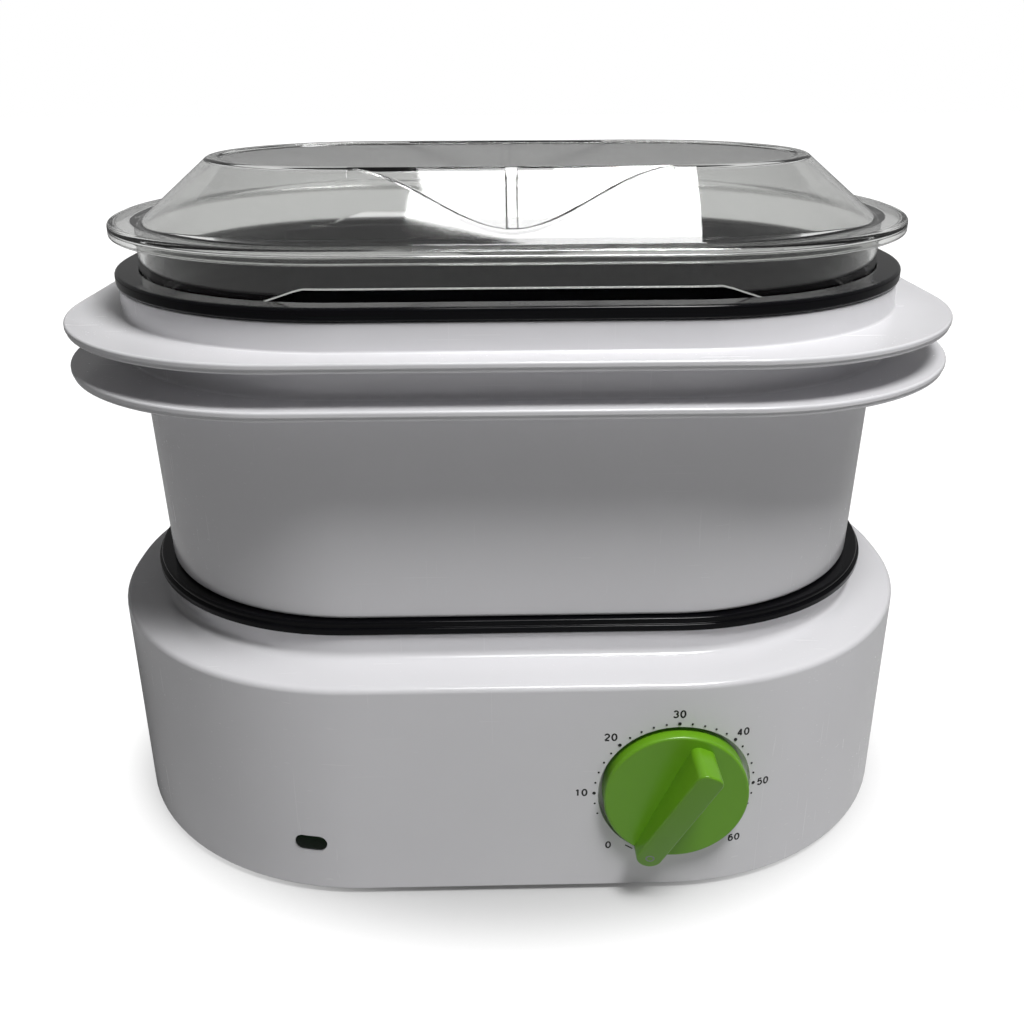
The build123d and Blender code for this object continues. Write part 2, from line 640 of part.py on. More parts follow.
def timer_knob():
    """Dial knob: hollow disc with a rounded rim, hub, grip and pointer."""
    plane = knob_frame()
    face = disc_back_y - DISC_FACE_Y
    disc = extrude(Circle(DISC_R), amount=face)
    disc = fillet(edges_at(disc, face), DISC_ROUND)
    disc -= extrude(Circle(DISC_R - DISC_WALL), amount=face - DISC_WALL)
    disc += extrude(Circle(HUB_R), amount=face - DISC_WALL / 2)
    knob = plane * disc + grip()
    bore_top = face + HUB_BORE_PAST
    knob -= d_prism(SHAFT_R + BED, SHAFT_FLAT - SPRING_THICK - BED, -FUSE, bore_top)
    return knob


def timer_shaft():
    """Shaft of the clockwork, with a D flat inside the knob's hub."""
    face = disc_back_y - DISC_FACE_Y
    shaft = d_prism(SHAFT_R, SHAFT_FLAT, 0, face + HUB_BORE_PAST - SHAFT_END_GAP)
    shaft += front_cylinder(disc_back_y, timer_front_y + SHAFT_DEPTH, SHAFT_R)
    return shaft


def knob_spring():
    """Spring leaf that grips the shaft's flat in the hub."""
    plane = knob_frame()
    y = SHAFT_R - SHAFT_FLAT + SPRING_THICK / 2 + BED / 2
    return plane * Pos(0, y, SPRING_MIDDLE) * Box(SPRING_WIDTH, SPRING_THICK, SPRING_LENGTH)


# ---- Loose parts of the stack ----
def steam_ring():
    """Ring that stands in the water round the heater, notched at its foot."""
    low_z = tank_floor_top_z + SEAT_GAP
    high_z = low_z + STEAM_RING_H
    standing = (Align.CENTER, Align.CENTER, Align.MIN)
    top_r = STEAM_RING_R - STEAM_RING_TAPER
    wall = STEAM_RING_WALL
    outer = Cone(STEAM_RING_R, top_r, STEAM_RING_H, align=standing)
    inner = Cone(STEAM_RING_R - wall, top_r - wall, STEAM_RING_H, align=standing)
    ring = Pos(0, 0, low_z) * (outer - inner)
    notch = Box(2 * (STEAM_RING_TAPER + wall), NOTCH_WIDTH, 2 * NOTCH_HEIGHT)
    for i in range(NOTCH_COUNT):
        ring -= Rot(Z=360 * i / NOTCH_COUNT) * Pos(STEAM_RING_R - wall, 0, low_z) * notch
    lip_z = high_z - STEAM_RING_LIP
    lip = post(0, 0, lip_z, high_z, top_r + STEAM_RING_LIP) - post(0, 0, lip_z, high_z, top_r - wall)
    return ring + lip


def drip_tray():
    """Tray that hangs in the base's neck: stepped rim, bowl and steam chimney."""
    rim_top = tray_rim_top_z
    lip_top = tray_rim_z + TRAY_LIP_H
    upper = TRAY_OFFSET - TRAY_STEP
    tray = slab(tray_rim_z, TRAY_OFFSET, lip_top, TRAY_OFFSET, TRAY_CORE)
    tray = round_outer(tray, lip_top, TRAY_LIP_ROUND)
    tray += slab(tray_rim_z, upper, rim_top, upper, TRAY_CORE)
    tray = round_outer(tray, rim_top, TRAY_ROUND)
    tray += slab(TRAY_FLOOR_Z, TRAY_BOWL_LOW_OFFSET, tray_rim_z, TRAY_BOWL_TOP_OFFSET)
    floor_top = TRAY_FLOOR_Z + TRAY_WALL
    bore = slab(floor_top, TRAY_BOWL_LOW_OFFSET - TRAY_WALL, rim_top, TRAY_BOWL_TOP_OFFSET - TRAY_WALL)
    chimney = slab(TRAY_FLOOR_Z, CHIMNEY_OFFSET + TRAY_WALL, CHIMNEY_TOP_Z, CHIMNEY_OFFSET)
    tray = tray - bore + chimney
    tray -= slab(TRAY_FLOOR_Z, CHIMNEY_OFFSET, CHIMNEY_TOP_Z, CHIMNEY_OFFSET - TRAY_WALL)
    return tray


def slot_points(offset):
    """Places of the steam slots on a floor, in staggered rows inside its outline."""
    points = []
    half_y = CORE_Y + offset - SLOT_MARGIN
    rows = int(half_y // SLOT_PITCH_Y)
    for row in range(-rows, rows + 1):
        y = row * SLOT_PITCH_Y
        shift = SLOT_PITCH_X / 2 if row % 2 else 0
        reach = offset - SLOT_MARGIN - SLOT_LENGTH / 2
        over = max(0, abs(y) - CORE_Y)
        half_x = CORE_X + math.sqrt(max(0, reach ** 2 - over ** 2))
        columns = int(half_x // SLOT_PITCH_X) + 1
        for column in range(-columns, columns + 1):
            x = column * SLOT_PITCH_X + shift
            if abs(x) <= half_x:
                points.append((x, y))
    return points


def flange_and_collar(flange_z, collar_height):
    """Flange with a creased edge and a hollow underside, and the solid collar above it."""
    top_z = flange_z + FLANGE_THICK
    crease_z = flange_z + FLANGE_THICK / 2
    flange = slab(flange_z, FLANGE_OFFSET - CREASE, crease_z, FLANGE_OFFSET - CREASE, FLANGE_CORE)
    upper = slab(crease_z, FLANGE_OFFSET, top_z, FLANGE_OFFSET, FLANGE_CORE)
    flange = round_outer(flange, flange_z, FLANGE_UNDER_ROUND)
    upper = round_outer(upper, top_z, FLANGE_ROUND)
    flange += upper
    collar = slab(top_z, COLLAR_OFFSET, top_z + collar_height, COLLAR_OFFSET, TOP_CORE)
    lip = FLANGE_OFFSET - 2 * FLANGE_LIP
    hollow = slab(flange_z, lip, top_z - SHELF_THICK, lip, FLANGE_CORE)
    seat = COLLAR_OFFSET + FLANGE_SEAT
    hollow -= slab(flange_z, seat, top_z, seat, TOP_CORE)
    return flange + collar - hollow


def basket(foot_z, foot_offset, top_offset, flange_z, collar_height):
    """Steam basket: drafted wall, slotted floor, wide flange and collar."""
    shell = slab(foot_z, foot_offset, flange_z, top_offset)
    shell = round_outer(shell, foot_z, BASKET_FOOT_ROUND)
    shell += flange_and_collar(flange_z, collar_height)
    top_z = flange_z + FLANGE_THICK
    inner_foot = foot_offset - BASKET_WALL
    inner_top = top_offset - BASKET_WALL
    shell -= slab(foot_z + BASKET_FLOOR, inner_foot, top_z, inner_top)
    collar_bore = COLLAR_OFFSET - BASKET_WALL
    shell -= slab(top_z, collar_bore, top_z + collar_height, collar_bore, TOP_CORE)
    slot = extrude(SlotOverall(SLOT_LENGTH, SLOT_WIDTH), amount=BASKET_FLOOR)
    slots = [Pos(x, y, foot_z) * slot for x, y in slot_points(inner_foot)]
    return shell - slots


def lower_basket():
    """The larger basket, with a tongue under its foot that enters the drip tray."""
    body = basket(lower_foot_z, FOOT_OFFSET, LOWER_TOP_OFFSET, LOWER_FLANGE_Z, lower_collar_h)
    tongue = TRAY_BOWL_TOP_OFFSET - TRAY_WALL - 2 * SEAT_GAP
    ring = slab(lower_foot_z - SPIGOT_DEPTH, tongue - SPIGOT_DRAFT, lower_foot_z, tongue)
    ring -= slab(lower_foot_z - SPIGOT_DEPTH, tongue - SPIGOT_WALL, lower_foot_z, tongue - SPIGOT_WALL)
    return body + ring


def upper_basket():
    """The smaller basket, which nests in the lower one for storage."""
    return basket(UPPER_FOOT_Z, UPPER_FOOT_OFFSET, UPPER_TOP_OFFSET, upper_flange_z, UPPER_COLLAR_H)


def food_insert():
    """Black insert: flat rim with a seat for the lid, and a bowl inside the upper basket."""
    low_z = insert_rim_z
    insert = slab(low_z, INSERT_OFFSET, insert_rim_top_z, INSERT_OFFSET, TOP_CORE)
    insert = round_outer(insert, insert_rim_top_z, INSERT_ROUND)
    insert = round_outer(insert, low_z, INSERT_ROUND)
    shoulder_z = upper_flange_top_z + 2 * SEAT_GAP
    shelf_z = shoulder_z + INSERT_WALL
    throat = INSERT_BORE_OFFSET + INSERT_WALL
    insert += slab(shoulder_z, throat, low_z, throat, TOP_CORE)
    insert += slab(INSERT_FLOOR_Z, INSERT_BOWL_LOW_OFFSET, shoulder_z, INSERT_BOWL_OFFSET, TOP_CORE)
    insert -= slab(insert_seat_z, INSERT_SEAT_OFFSET, insert_rim_top_z, INSERT_SEAT_OFFSET, TOP_CORE)
    insert -= slab(shelf_z, INSERT_BORE_OFFSET, insert_seat_z, INSERT_BORE_OFFSET, TOP_CORE)
    bowl_low = INSERT_BOWL_LOW_OFFSET - INSERT_WALL
    bowl_high = INSERT_BOWL_OFFSET - INSERT_WALL
    insert -= slab(INSERT_FLOOR_Z + INSERT_WALL, bowl_low, shelf_z, bowl_high, TOP_CORE)
    return insert


# ---- Lid ----
def scoop_plane(grow):
    """The plane of the front scoop's back face: +Y up along it, +Z out of the lid."""
    lean = math.radians(SCOOP_LEAN)
    top_y = -(DOME_TOP_CORE[1] + DOME_TOP_OFFSET) + grow / math.cos(lean)
    out = (0, -math.cos(lean), math.sin(lean))
    return Plane(origin=(0, top_y, lid_top_z), x_dir=(1, 0, 0), z_dir=out)


def scoop_tool(grow):
    """Cutter for one finger scoop in the front slope, grown outward all round by `grow`."""
    half = SCOOP_HALF_WIDTH + grow
    depth = scoop_depth + grow
    knee_x = half * SCOOP_KNEE[0]
    knee_y = -depth * SCOOP_KNEE[1]
    points = [(-half, 0), (-knee_x, knee_y), (0, -depth), (knee_x, knee_y), (half, 0)]
    curve = Spline(points, tangents=[(1, -SCOOP_END_SLOPE), (1, SCOOP_END_SLOPE)])
    above = Polyline((half, 0), (half, depth / 2), (-half, depth / 2), (-half, 0))
    face = make_face(Wire([curve, *above.edges()]))
    rise = math.radians(SCOOP_FLOOR_SLOPE)
    return extrude(scoop_plane(grow) * face, amount=2 * dome_run, dir=(0, -math.cos(rise), math.sin(rise)))


def scoop_rib(grow):
    """The rib that stands in the middle of a scoop, drawn in by `grow` on the inside."""
    return scoop_plane(grow) * Box(SCOOP_RIB_WIDTH - grow, 3 * scoop_depth, 2 * SCOOP_RIB_PROUD)


def scoops(grow):
    """Both scoops, front and back, each without its rib."""
    front = scoop_tool(grow) - scoop_rib(grow)
    return front, front.mirror(Plane.XZ)


def dome(shrink):
    """Sloping body of the lid, drawn in by `shrink` for its inside."""
    inset = shrink / math.sin(dome_slope) - shrink / math.tan(dome_slope)
    foot = outline(DOME_FOOT_OFFSET - inset, lid_flange_top_z - shrink, DOME_FOOT_CORE)
    top = outline(DOME_TOP_OFFSET - inset, lid_top_z - shrink, DOME_TOP_CORE)
    body = loft([foot, top], ruled=True)
    body = round_outer(body, lid_top_z - shrink, LID_TOP_ROUND - shrink / 2)
    for tool in scoops(shrink):
        body -= tool
    return body


def lid():
    """Clear lid: sloping dome with finger scoops, rolled flange and a notched skirt."""
    top_z = lid_flange_top_z
    under_z = top_z - LID_WALL
    edge = LID_FLANGE_OFFSET - LID_WALL
    bore = SKIRT_OFFSET - LID_WALL
    shell = slab(lid_flange_low_z, LID_FLANGE_OFFSET, top_z, LID_FLANGE_OFFSET, TOP_CORE)
    shell = round_outer(shell, top_z, LID_FLANGE_ROUND)
    shell -= slab(lid_flange_low_z, edge, under_z, edge, TOP_CORE)
    shell += slab(skirt_foot_z, SKIRT_OFFSET, under_z, SKIRT_OFFSET, TOP_CORE)
    shell += dome(0)
    shell -= slab(skirt_foot_z, bore, under_z, bore, TOP_CORE)
    shell -= dome(LID_WALL) & slab(skirt_foot_z, bore, lid_top_z, bore, TOP_CORE)
    shell -= skirt_notch()
    for side in (-1, 1):
        shell -= lid_vents(side)
    return shell


def skirt_notch():
    """Cutter that raises the skirt's edge along the front and the back."""
    foot = SKIRT_NOTCH_FOOT / 2
    top = SKIRT_NOTCH_TOP / 2
    low = skirt_foot_z
    high = low + SKIRT_NOTCH_H
    shape = Plane.XZ * Polygon((-foot, low), (foot, low), (top, high), (-top, high), align=None)
    return extrude(shape, amount=TOP_CORE[1] + LID_FLANGE_OFFSET, both=True)


def lid_vents(side):
    """Cutters for the small steam slots in one end of the lid, just under its top."""
    share = LID_VENT_DROP / DOME_RISE
    reach = DOME_TOP_OFFSET + (DOME_FOOT_OFFSET - DOME_TOP_OFFSET) * share
    z = lid_top_z - LID_VENT_DROP
    cutters = []
    for angle in (-LID_VENT_ANGLE, LID_VENT_ANGLE):
        place = Pos(side * TOP_CORE[0], 0, z) * Rot(Z=angle if side > 0 else 180 + angle)
        cutters.append(place * Pos(reach, 0, 0) * Box(5 * LID_WALL, LID_VENT_WIDTH, LID_VENT_HEIGHT))
    return cutters


NODES = {
    "base_housing": base_housing,
    "bottom_cover": bottom_cover,
    "rubber_feet": rubber_feet,
    "cover_screws": cover_screws,
    "water_reservoir": water_reservoir,
    "heater_plate": heater_plate,
    "heater_gasket": heater_gasket,
    "heater_clamp": heater_clamp,
    "heater_nuts": heater_nuts,
    "heating_element": heating_element,
    "thermostat": thermostat,
    "terminal_block": terminal_block,
    "cord_bush": cord_bush,
    "pilot_lens": pilot_lens,
    "pilot_lamp": pilot_lamp,
    "timer_case": timer_case,
    "timer_bell": timer_bell,
    "timer_screws": timer_screws,
    "timer_knob": timer_knob,
    "timer_shaft": timer_shaft,
    "knob_spring": knob_spring,
    "steam_ring": steam_ring,
    "drip_tray": drip_tray,
    "lower_basket": lower_basket,
    "upper_basket": upper_basket,
    "food_insert": food_insert,
    "lid": lid,
}


def placed(shape):
    """The solids of a node, moved from the stack's axis to the object's origin."""
    return Compound(children=[Pos(0, ORIGIN_Y, 0) * solid for solid in shape.solids()])


os.makedirs("parts", exist_ok=True)
for name, make in NODES.items():
    export_step(placed(make()), f"parts/{name}.step")
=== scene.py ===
"""Looks of an electric food steamer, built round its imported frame.

Sizes are in millimetres from the upright axis of the stack, and are turned into metres where
a mesh is made. +X is right, +Y is back and +Z is up. The axis stands a little behind the
frame's origin, so each finished mesh and the camera are moved by that much at the end.
"""

import json
import logging
import math
from collections.abc import Callable, Sequence
from dataclasses import dataclass, field, replace
from enum import Enum

import bmesh
import bpy
from mathutils import Matrix, Vector

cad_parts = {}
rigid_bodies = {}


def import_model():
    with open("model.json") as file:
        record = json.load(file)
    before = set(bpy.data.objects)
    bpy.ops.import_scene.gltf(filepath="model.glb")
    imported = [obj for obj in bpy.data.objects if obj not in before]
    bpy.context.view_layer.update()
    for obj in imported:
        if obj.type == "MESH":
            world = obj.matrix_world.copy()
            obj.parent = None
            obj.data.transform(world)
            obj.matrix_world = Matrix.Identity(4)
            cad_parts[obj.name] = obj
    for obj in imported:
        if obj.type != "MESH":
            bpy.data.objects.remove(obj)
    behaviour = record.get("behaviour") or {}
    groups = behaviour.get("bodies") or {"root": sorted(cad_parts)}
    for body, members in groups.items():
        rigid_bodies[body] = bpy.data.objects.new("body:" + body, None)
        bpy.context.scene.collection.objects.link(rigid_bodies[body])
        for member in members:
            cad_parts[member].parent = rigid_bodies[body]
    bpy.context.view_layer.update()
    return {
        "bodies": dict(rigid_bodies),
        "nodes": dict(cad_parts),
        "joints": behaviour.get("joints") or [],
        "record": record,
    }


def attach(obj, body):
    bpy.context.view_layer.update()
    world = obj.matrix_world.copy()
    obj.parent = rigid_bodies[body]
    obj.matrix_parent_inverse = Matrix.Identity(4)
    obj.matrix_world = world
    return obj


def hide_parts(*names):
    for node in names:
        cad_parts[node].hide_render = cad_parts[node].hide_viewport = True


LOG = logging.getLogger("steamer")
MM = 0.001
AXIS_SHIFT = Vector((0.0, 9.7, 0.0)) * MM
SMOOTH_ANGLE = math.radians(32)
PURE_WHITE = (1.0, 1.0, 1.0, 1.0)
HOLD = 0.25  # strip beside a rounding that keeps the flat face's shading flat, in millimetres
CUT_PAST = 4.0  # how far a cutter runs past the wall that it pierces, in millimetres
AXIS = 0.01  # radius at which a turned section's end stands for its axis, in millimetres


# ---------------------------------------------------------------- node graphs
class Value:
    """One socket of a node tree, with arithmetic."""

    def __init__(self, graph: "Graph", socket: bpy.types.NodeSocket) -> None:
        """Wraps a socket of a graph."""
        self.graph = graph
        self.socket = socket

    def _math(self, operation: str, first: "Value | float", second: "Value | float") -> "Value":
        """Adds one Math node.

        Args:
            operation: The Math node's operation.
            first: Left operand.
            second: Right operand.

        Returns:
            The result's socket.
        """
        return self.graph.node("ShaderNodeMath", {"operation": operation}, {0: first, 1: second})

    def __add__(self, other: "Value | float") -> "Value":
        """self + other."""
        return self._math("ADD", self, other)

    def __radd__(self, other: float) -> "Value":
        """other + self."""
        return self._math("ADD", other, self)

    def __sub__(self, other: "Value | float") -> "Value":
        """self - other."""
        return self._math("SUBTRACT", self, other)

    def __rsub__(self, other: float) -> "Value":
        """other - self."""
        return self._math("SUBTRACT", other, self)

    def __mul__(self, other: "Value | float") -> "Value":
        """self * other."""
        return self._math("MULTIPLY", self, other)

    def __truediv__(self, other: "Value | float") -> "Value":
        """self / other."""
        return self._math("DIVIDE", self, other)

    def __gt__(self, other: "Value | float") -> "Value":
        """1 where self is above other, else 0."""
        return self._math("GREATER_THAN", self, other)

    def function(self, operation: str, other: "Value | float" = 0.0) -> "Value":
        """Any other operation of the Math node, such as SINE or MAXIMUM."""
        return self._math(operation, self, other)


class Graph:
    """Adds nodes to one tree."""

    def __init__(self, tree: bpy.types.NodeTree) -> None:
        """Works on the tree given."""
        self.tree = tree

    def node(
        self,
        kind: str,
        settings: dict[str, object] | None = None,
        inputs: dict[str | int, object] | None = None,
        output: str | int = 0,
    ) -> Value:
        """Adds one node.

        Args:
            kind: The node's type.
            settings: Properties that are set first.
            inputs: Values or links of its sockets, by name or place.
            output: The socket that is returned, by name or place.

        Returns:
            The chosen output.
        """
        made = self.tree.nodes.new(kind)
        for key, setting in (settings or {}).items():
            setattr(made, key, setting)
        for key, value in (inputs or {}).items():
            if isinstance(value, Value):
                self.tree.links.new(value.socket, made.inputs[key])
            else:
                made.inputs[key].default_value = value
        return Value(self, made.outputs[output]) if made.outputs else Value(self, None)

    def mix(self, mask: Value | float, dark: object, light: object) -> Value:
        """Mixes two colours by a mask."""
        settings = {"data_type": "RGBA"}
        return self.node("ShaderNodeMix", settings, {0: mask, 6: dark, 7: light}, 2)

    def noise(self, place: Value, scale: float, detail: float = 2.0) -> Value:
        """Noise between 0 and 1 over a place, with `scale` features to the metre."""
        inputs = {"Vector": place, "Scale": scale, "Detail": detail}
        return self.node("ShaderNodeTexNoise", None, inputs, "Fac")

    def stretched(self, place: Value, scale: tuple[float, float, float]) -> Value:
        """A place scaled along each axis."""
        return self.node("ShaderNodeMapping", None, {"Vector": place, "Scale": scale})

    def lines(self, place: Value, scale: tuple[float, float, float], detail: float = 1.0) -> Value:
        """Noise drawn out into lines, with that many features to the metre along each axis."""
        return self.noise(self.stretched(place, scale), 1.0, detail)

    def bump(self, height: Value, strength: float, distance: float) -> Value:
        """The surface's normal under a height of at most a distance in metres."""
        inputs = {"Strength": strength, "Distance": distance, "Height": height}
        return self.node("ShaderNodeBump", None, inputs)


# ---------------------------------------------------------------- finishes
@dataclass(frozen=True)
class Finish:
    """A named material.

    Attributes:
        name: The material's name.
        slot: The record's slot that it stands for; not used.
        colour: Its plain colour, linear.
    """

    name: str
    slot: str
    colour: tuple[float, float, float]

    def material(self) -> bpy.types.Material:
        """The material, made once and then shared."""
        found = bpy.data.materials.get(self.name)
        if found:
            return found
        made = bpy.data.materials.new(self.name)
        made.use_nodes = True
        made.node_tree.nodes.clear()
        graph = Graph(made.node_tree)
        place = graph.node("ShaderNodeTexCoord", None, None, "Object")
        shader = self.shader(graph, place)
        graph.node("ShaderNodeOutputMaterial", None, {"Surface": shader})
        made.diffuse_color = (*self.colour, 1.0)
        return made

    def rgba(self, gain: float = 1.0) -> tuple[float, float, float, float]:
        """The colour times a gain, with full alpha."""
        return (self.colour[0] * gain, self.colour[1] * gain, self.colour[2] * gain, 1.0)

    def shader(self, graph: Graph, place: Value) -> Value:
        """The surface shader over object coordinates; each kind of finish has its own."""
        raise NotImplementedError


@dataclass(frozen=True)
class MouldedPlastic(Finish):
    """Injection-moulded plastic: slow flow in the gloss, fine grain, hairline wear.

    Attributes:
        roughness: Mean roughness.
        grain: Strength of the fine bump.
        wear: How much the hairlines dull the gloss.
        specular: Strength of the gloss, where 0.5 is plain plastic.
    """

    roughness: float = 0.25
    grain: float = 0.04
    wear: float = 0.1
    specular: float = 0.5

    def shader(self, graph: Graph, place: Value) -> Value:
        """Principled shader with flow, grain and hairlines."""
        flow = graph.noise(place, 14.0, 3.0)
        fine = graph.noise(place, 1500.0, 2.0)
        along = graph.lines(place, (900.0, 900.0, 22.0))
        across = graph.lines(place, (20.0, 700.0, 800.0))
        hairline = (along.function("MAXIMUM", across) > 0.74) * (flow > 0.5)
        rough = self.roughness + (flow - 0.5) * 0.07 + hairline * self.wear
        tone = graph.mix(flow, self.rgba(0.96), self.rgba(1.03))
        colour = graph.mix(hairline * 0.06, tone, self.rgba(0.7))
        inputs = {
            "Base Color": colour,
            "Roughness": rough,
            "Specular IOR Level": self.specular,
            "Normal": graph.bump(fine * 0.5 + flow * 2.0, self.grain, 0.0004),
        }
        return graph.node("ShaderNodeBsdfPrincipled", None, inputs)


@dataclass(frozen=True)
class ClearPlastic(Finish):
    """Smoky clear plastic with faint handling marks.

    Attributes:
        roughness: Mean roughness of the polished faces.
        ior: Refractive index.
        specular: Strength of the mirror image on its faces.
    """

    roughness: float = 0.02
    ior: float = 1.49
    specular: float = 0.12

    def shader(self, graph: Graph, place: Value) -> Value:
        """Transmitting shader whose gloss varies a little."""
        haze = graph.noise(place, 22.0, 3.0)
        fine = graph.lines(place, (60.0, 900.0, 900.0))
        mark = (fine > 0.76) * (haze > 0.55)
        rough = self.roughness + haze * 0.03 + mark * 0.12
        tone = graph.mix(haze, self.rgba(0.97), self.rgba(1.02))
        inputs = {
            "Base Color": tone,
            "Roughness": rough,
            "IOR": self.ior,
            "Specular IOR Level": self.specular,
            "Transmission Weight": 1.0,
            "Normal": graph.bump(haze, 0.03, 0.0004),
        }
        return graph.node("ShaderNodeBsdfPrincipled", None, inputs)


@dataclass(frozen=True)
class Rubber(Finish):
    """Moulded rubber or silicone: dull, with a soft grain and dust."""

    def shader(self, graph: Graph, place: Value) -> Value:
        """Dull shader with patches of dust."""
        grain = graph.noise(place, 900.0, 3.0)
        dust = graph.noise(place, 60.0, 4.0)
        colour = graph.mix(dust * 0.25, self.rgba(), (0.3, 0.3, 0.29, 1.0))
        bump = graph.bump(grain, 0.3, 0.0003)
        inputs = {"Base Color": colour, "Roughness": 0.6 + grain * 0.25, "Normal": bump}
        return graph.node("ShaderNodeBsdfPrincipled", None, inputs)


@dataclass(frozen=True)
class Metal(Finish):
    """Bare metal with drawn or turned lines.

    Attributes:
        lines: Stretch of the brushing along each axis.
        roughness: Mean roughness.
        stain: Strength of the heat and water marks.
    """

    lines: tuple[float, float, float] = (30.0, 1200.0, 1200.0)
    roughness: float = 0.28
    stain: float = 0.2

    def shader(self, graph: Graph, place: Value) -> Value:
        """Metallic shader with brushing and stains."""
        brushed = graph.lines(place, self.lines, 3.0)
        marks = graph.noise(place, 70.0, 4.0)
        colour = graph.mix(marks * self.stain, self.rgba(), self.rgba(0.55))
        bump = graph.bump(brushed, 0.12, 0.0002)
        rough = self.roughness + (brushed - 0.5) * 0.15 + marks * 0.08
        inputs = {"Base Color": colour, "Metallic": 1.0, "Roughness": rough, "Normal": bump}
        return graph.node("ShaderNodeBsdfPrincipled", None, inputs)


@dataclass(frozen=True)
class Ink(Finish):
    """Pad-printed ink, a little uneven in cover."""

    def shader(self, graph: Graph, place: Value) -> Value:
        """Near-black satin shader."""
        cover = graph.noise(place, 2500.0, 2.0)
        colour = graph.mix(cover, self.rgba(0.8), self.rgba(1.6))
        inputs = {"Base Color": colour, "Roughness": 0.4 + cover * 0.2}
        return graph.node("ShaderNodeBsdfPrincipled", None, inputs)


WHITE = MouldedPlastic(
    "white_gloss_plastic",
    "white_gloss",
    (0.74, 0.735, 0.755),
    roughness=0.2,
    grain=0.03,
    wear=0.08,
)
WHITE_INNER = MouldedPlastic(
    "white_inner_plastic", "white_matte", (0.7, 0.7, 0.69), roughness=0.45, grain=0.15
)
BLACK = MouldedPlastic(
    "black_gloss_plastic",
    "black_gloss",
    (0.003, 0.003, 0.004),
    roughness=0.1,
    grain=0.03,
    specular=0.12,
)
BLACK_MATTE = MouldedPlastic(
    "black_matte_plastic",
    "black_matte",
    (0.01, 0.01, 0.01),
    roughness=0.4,
    grain=0.2,
    specular=0.3,
)
GREEN = MouldedPlastic(
    "leaf_green_plastic",
    "green_gloss",
    (0.14, 0.36, 0.0105),
    roughness=0.3,
    grain=0.05,
    wear=0.06,
)
LENS = MouldedPlastic(
    "lens_green_plastic",
    "green_lens",
    (0.002, 0.007, 0.002),
    roughness=0.12,
    grain=0.1,
    wear=0.04,
    specular=0.1,
)
SMOKE = ClearPlastic("smoke_clear_plastic", "smoke_clear", (0.685, 0.69, 0.68))
NEON = ClearPlastic("neon_tube_glass", "clear_glass", (0.95, 0.86, 0.8))
FEET = Rubber("foot_rubber", "black_rubber", (0.02, 0.02, 0.02))
SILICONE = Rubber("gasket_silicone", "grey_silicone", (0.35, 0.35, 0.36))
STEEL = Metal("plain_steel", "steel", (0.56, 0.56, 0.55))
HOT_STEEL = Metal(
    "heated_steel",
    "steel",
    (0.5, 0.47, 0.43),
    lines=(1200.0, 30.0, 1200.0),
    roughness=0.32,
    stain=0.45,
)
BRASS = Metal(
    "turned_brass", "brass", (0.62, 0.45, 0.2), lines=(1200.0, 40.0, 1200.0), roughness=0.25
)
INK = Ink("black_ink", "white_gloss", (0.003, 0.003, 0.003))
DOT_PAINT = Ink("grey_paint", "green_gloss", (0.2, 0.22, 0.2))


# ---------------------------------------------------------------- ring geometry
@dataclass(frozen=True)
class Core:
    """The rectangle that a family of outlines runs round."""

    half_x: float
    half_y: float


STACK = Core(63.5, 4.0)
TOP = Core(62.0, 4.0)
TRAY = Core(67.0, 4.0)
FLANGE = Core(82.0, 19.6)


@dataclass(frozen=True)
class Corner:
    """A corner of a wall's section.

    Attributes:
        offset: Distance outside the core.
        z: Height.
        round: Radius of the corner.
        core: The core that the offset is measured from.
    """

    offset: float
    z: float
    round: float = 0.0
    core: Core = STACK


@dataclass(frozen=True)
class Station:
    """A place on the outline: where it lies on the core, and which way is out."""

    at_x: float
    at_y: float
    out_x: float
    out_y: float

    def point(self, corner: Corner) -> Vector:
        """The point of a section's corner at this station, in metres."""
        x = self.at_x * corner.core.half_x + self.out_x * corner.offset
        y = self.at_y * corner.core.half_y + self.out_y * corner.offset
        return Vector((x, y, corner.z)) * MM

    def reach(self, corner: Corner) -> float:
        """How far out a corner lies at this station, in millimetres."""
        along = self.at_x * self.out_x * corner.core.half_x
        across = self.at_y * self.out_y * corner.core.half_y
        return along + across + corner.offset


def stations(long_side: Sequence[float], arc_steps: int = 26) -> list[Station]:
    """Stations once round the outline, anticlockwise from the front left.

    Args:
        long_side: Places along a long side, from above -1 to below 1.
        arc_steps: Steps round each corner.

    Returns:
        The stations in order.
    """
    places: list[Station] = []
    short_side = (-0.5, 0.0, 0.5)
    sides = ((long_side, 0), (short_side, 1), (long_side, 2), (short_side, 3))
    for fractions, quarter in sides:
        turn = quarter * math.pi / 2 - math.pi / 2
        out = (round(math.cos(turn), 9), round(math.sin(turn), 9))
        for f in fractions:
            at = ((f, -1), (1, f), (-f, 1), (-1, -f))[quarter]
            places.append(Station(at[0], at[1], out[0], out[1]))
        corner = ((1, -1), (1, 1), (-1, 1), (-1, -1))[quarter]
        for i in range(arc_steps + 1):
            angle = turn + i / arc_steps * math.pi / 2
            places.append(Station(corner[0], corner[1], math.cos(angle), math.sin(angle)))
    return places


PLAIN_SIDE = tuple(i / 8 for i in range(-7, 8))
ROUND = stations(PLAIN_SIDE)


